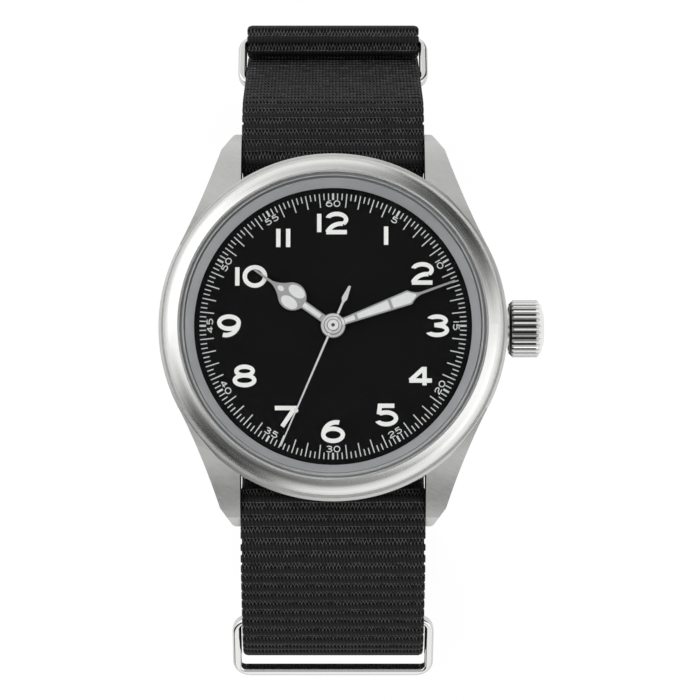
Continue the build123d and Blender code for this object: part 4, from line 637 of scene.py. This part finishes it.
def webbing_material(name, dark, light):
    """Ribbed black nylon with the weave's painted shade and highlights, read from the piece's own
    map.
    """
    material, tree, shader = new_material(name, light, 0.0, 0.62, Specular_IOR_Level=0.12)
    net = Net(tree)
    weave = net.node("ShaderNodeUVMap", uv_map="weave").outputs[0]
    shade, lift = use_group(net, weave_group, Map=weave)
    net.feed(shader.inputs["Base Color"], net.colour(shade, (*dark, 1), (*light, 1)))
    net.feed(shader.inputs["Normal"], net.bump(lift, 0.16 * MM, 0.9))
    return material


coated_glass_ior = 1.36


def crystal_material():
    """Clear flat glass that lets lamp light through to the dial, and mirrors less than bare glass."""
    material, tree, shader = new_material("crystal glass", (1, 1, 1), 0.0, 0.0)
    socket_set(shader, {"Transmission Weight": 1.0, "IOR": coated_glass_ior})
    net = Net(tree)
    clear = net.node("ShaderNodeBsdfTransparent")
    choice = net.node("ShaderNodeMixShader")
    shadow = net.node("ShaderNodeLightPath").outputs["Is Shadow Ray"]
    net.feed(choice.inputs[0], shadow)
    net.feed(choice.inputs[1], shader.outputs[0])
    net.feed(choice.inputs[2], clear.outputs[0])
    net.feed(tree.nodes["Material Output"].inputs["Surface"], choice.outputs[0])
    return material


steel = (0.54, 0.54, 0.53)
case_finish = brushed_metal("case brushed", steel, 0.34, turn=math.radians(28))
back_finish = turned_steel("case back turned", steel, 0.36, tangent=False)
bezel_finish = turned_steel("bezel turned", (0.63, 0.63, 0.62), 0.24)
rehaut_finish = speckled("inner ring satin", (0.52, 0.53, 0.54), 0.40, 0.3, 0.05)
crown_finish = steel_with_painted_flute_shade("crown fluted painted shade", (0.78, 0.78, 0.77), 0.14)
ring_finish = speckled("ring polished", (0.60, 0.60, 0.59), 0.14, 1.0, 0.04)
bright_finish = speckled("steel bright", (0.62, 0.62, 0.62), 0.22, 1.0, 0.05)
plate_finish = brushed_metal("plate brass", (0.62, 0.50, 0.28), 0.34, turn=math.radians(90))
gear_finish = speckled("gear brass", (0.70, 0.52, 0.22), 0.27, 1.0, 0.06)
bridge_finish = brushed_metal("bridge steel", (0.62, 0.62, 0.62), 0.30)
copper_finish = speckled("coil copper", (0.55, 0.20, 0.08), 0.35, 1.0, 0.2, depth=1e-5)
iron_finish = speckled("stator iron", (0.42, 0.42, 0.43), 0.4, 1.0)
magnet_finish = speckled("magnet", (0.16, 0.16, 0.17), 0.4, 1.0)
board_finish = speckled("circuit board", (0.02, 0.13, 0.06), 0.3, 0.0, 0.15)
holder_finish = speckled("holder plastic", (0.62, 0.62, 0.58), 0.5, 0.0, 0.05)
rubber_finish = speckled("seal rubber", (0.02, 0.02, 0.02), 0.55)
nylon_finish = speckled("glass seal nylon", (0.55, 0.55, 0.53), 0.4, 0.0, 0.05)
dial_finish = speckled(
    "dial matte black", (0.005, 0.005, 0.0055), 0.6, 0.0, 0.2, 9000.0, Specular_IOR_Level=0.05
)
print_finish = speckled("dial print", (0.62, 0.64, 0.63), 0.5, 0.0, 0.06)
lume_finish = speckled("luminous paint", (0.83, 0.84, 0.81), 0.6, 0.0, 0.05, 5000.0, 4e-6)
hand_finish = hand_material("hand frosted", (0.74, 0.74, 0.74), 0.45)
seconds_finish = hand_material("seconds hand frosted", (0.74, 0.74, 0.74), 0.85)
hand_lume_finish = speckled("hand luminous paint", (0.68, 0.69, 0.68), 0.6, 0.0, 0.12, 5000.0, 4e-6)
arbor_finish = speckled("wheel steel dark", (0.10, 0.10, 0.10), 0.35, 1.0)
thread_finish = speckled("thread black", (0.018, 0.018, 0.018), 0.6, 0.0, 0.4, 6000.0, 2e-5)
# The dark colour is the grooves' painted shade, and the light colour is the top of the painted
# highlights
webbing_finish = webbing_material(
    "webbing ribbed black", (0.0005, 0.0005, 0.0005), (0.128, 0.127, 0.126)
)
glass_finish = crystal_material()

finishes = {
    case_finish: ("mid_case",),
    back_finish: ("case_back",),
    bezel_finish: ("bezel",),
    rehaut_finish: ("rehaut_ring",),
    crown_finish: ("crown",),
    ring_finish: (
        "upper_keeper", "lower_keeper", "flap_ring", "buckle_frame", "buckle_bar", "buckle_tongue",
    ),
    bright_finish: (
        "crown_tube", "stem", "clutch_wheel", "movement_screws", "quartz_can", "battery",
        "spring_bar_tube_12", "spring_bar_tube_6", "spring_bar_spring_12", "spring_bar_spring_6",
        "spring_bar_pin_12_left", "spring_bar_pin_12_right",
        "spring_bar_pin_6_left", "spring_bar_pin_6_right",
    ),
    arbor_finish: ("seconds_wheel",),
    plate_finish: ("main_plate",),
    gear_finish: (
        "fifth_wheel", "third_wheel", "centre_wheel",
        "cannon_pinion", "minute_wheel", "hour_wheel",
    ),
    bridge_finish: ("train_bridge", "battery_clamp", "setting_lever"),
    copper_finish: ("coil",),
    iron_finish: ("stator",),
    magnet_finish: ("rotor",),
    board_finish: ("circuit_board",),
    holder_finish: ("movement_holder",),
    rubber_finish: ("case_back_gasket", "crown_gasket"),
    nylon_finish: ("crystal_gasket",),
    dial_finish: ("dial",),
    print_finish: ("dial_minute_track", "dial_minute_figures"),
    lume_finish: ("dial_numerals",),
    hand_lume_finish: ("hour_hand_lume", "minute_hand_lume", "seconds_hand_lume"),
    hand_finish: ("hour_hand", "minute_hand"),
    seconds_finish: ("seconds_hand",),
    thread_finish: ("stitching",),
    glass_finish: ("crystal",),
}


def dress(piece, material):
    """Gives a piece one material."""
    piece.data.materials.clear()
    piece.data.materials.append(material)


for material, names in finishes.items():
    for name in names:
        dress(nodes[name], material)
for piece in (strap_piece, flap_piece):
    dress(piece, webbing_finish)
    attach(piece, "watch")
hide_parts("strap")
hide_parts("short_flap")

# Floor, world and lamps
floor_mesh = bmesh.new()
bmesh.ops.create_grid(floor_mesh, x_segments=1, y_segments=1, size=1.5)
floor = finished(floor_mesh, "floor", smooth=False)
floor_finish, tree, shader = new_material("floor white", (0.9, 0.9, 0.9), 0.0, 0.9)
net = Net(tree)
glow = net.node("ShaderNodeEmission")
glow.inputs["Strength"].default_value = 1.05
blend = net.node("ShaderNodeMixShader")
seen = net.node("ShaderNodeLightPath")
seen_share = net.math("MAXIMUM", seen.outputs["Is Camera Ray"], seen.outputs["Is Glossy Ray"])
seen_share = net.math("MAXIMUM", seen_share, seen.outputs["Is Transmission Ray"])
net.feed(blend.inputs[0], net.math("MULTIPLY", seen_share, 0.88))
net.feed(blend.inputs[1], shader.outputs[0])
net.feed(blend.inputs[2], glow.outputs[0])
net.feed(tree.nodes["Material Output"].inputs["Surface"], blend.outputs[0])
dress(floor, floor_finish)

world = bpy.data.worlds.new("studio")
scene.world = world
world.use_nodes = True
net = Net(world.node_tree)
sky = world.node_tree.nodes["Background"]
socket_set(sky, {"Color": (1, 1, 1, 1)})
direction = net.node("ShaderNodeTexCoord").outputs["Generated"]
x, y, z = net.split(direction)
# A bright wall all round, dark below the horizon, a small dark card over the dial, where flat glass
# mirrors, two narrow dark screens, and a dimmer panel above the 6 o'clock side
card_aim_y, card_aim_z = 0.0924, 0.9957
screen_dark, panel_dark, world_level = 0.97, 0.62, 0.98
over_y = net.math("MULTIPLY", y, card_aim_y)
over = net.math("ADD", over_y, net.math("MULTIPLY", z, card_aim_z))
card = net.ramp(over, 0.9960, 0.9850)
flat_reach = net.reach(direction)
slant = net.math("ABSOLUTE", net.math("ADD", x, y))
slant = net.math("DIVIDE", slant, net.math("MULTIPLY_ADD", flat_reach, math.sqrt(2), 1e-6))
screen = net.math("MULTIPLY", net.ramp(slant, 0.86, 0.945), net.ramp(z, 0.90, 0.70))
low = net.ramp(z, -0.06, 0.05, 0.08, 1.0)
wall = net.ramp(z, 0.12, 0.60, 1.45, 0.95)
panel = net.math("MULTIPLY", net.ramp(y, -0.35, -0.58), net.ramp(z, 0.48, 0.62))
light = net.math("MULTIPLY", net.math("MULTIPLY_ADD", screen, -screen_dark, 1.0), low)
light = net.math("MULTIPLY", light, net.math("MULTIPLY_ADD", panel, -panel_dark, 1.0))
light = net.math("MULTIPLY", net.math("MULTIPLY", light, card), wall)
light = net.math("MULTIPLY", light, world_level)
seen = net.node("ShaderNodeLightPath")
net.feed(sky.inputs["Strength"], net.mix(seen.outputs["Is Camera Ray"], light, 1.0))


def softbox(name, at, toward, size, power):
    """A square soft lamp that faces a point, in metres and watts."""
    lamp = bpy.data.lights.new(name, "AREA")
    lamp.shape = "RECTANGLE"
    lamp.size, lamp.size_y = size
    lamp.energy = power
    stand = bpy.data.objects.new(name, lamp)
    stand.location = at
    stand.rotation_euler = (Vector(toward) - Vector(at)).to_track_quat("-Z", "Y").to_euler()
    scene.collection.objects.link(stand)


head = (0, 0, 0.05)
softbox("lamp_upper_left", (-0.42, 0.20, 0.45), head, (0.60, 0.60), 1.05)
softbox("lamp_lower_right", (0.45, -0.18, 0.50), head, (0.60, 0.60), 0.9)

# Camera: over the dial, tipped a little toward 6 o'clock
dial_top = (0, 0, 0.053)
lift = math.radians(84.7)
reach = 0.300
camera_data = bpy.data.cameras.new("camera")
camera = bpy.data.objects.new("camera", camera_data)
scene.collection.objects.link(camera)
camera.location = (0, -reach * math.cos(lift), dial_top[2] + reach * math.sin(lift))
aim = Vector(dial_top) - camera.location
camera.rotation_euler = aim.to_track_quat("-Z", "Y").to_euler()
camera_data.lens = 141.9
camera_data.sensor_width = 36
camera_data.shift_x = 0.0242
camera_data.shift_y = -0.034
scene.camera = camera
scene.view_settings.view_transform = "Standard"
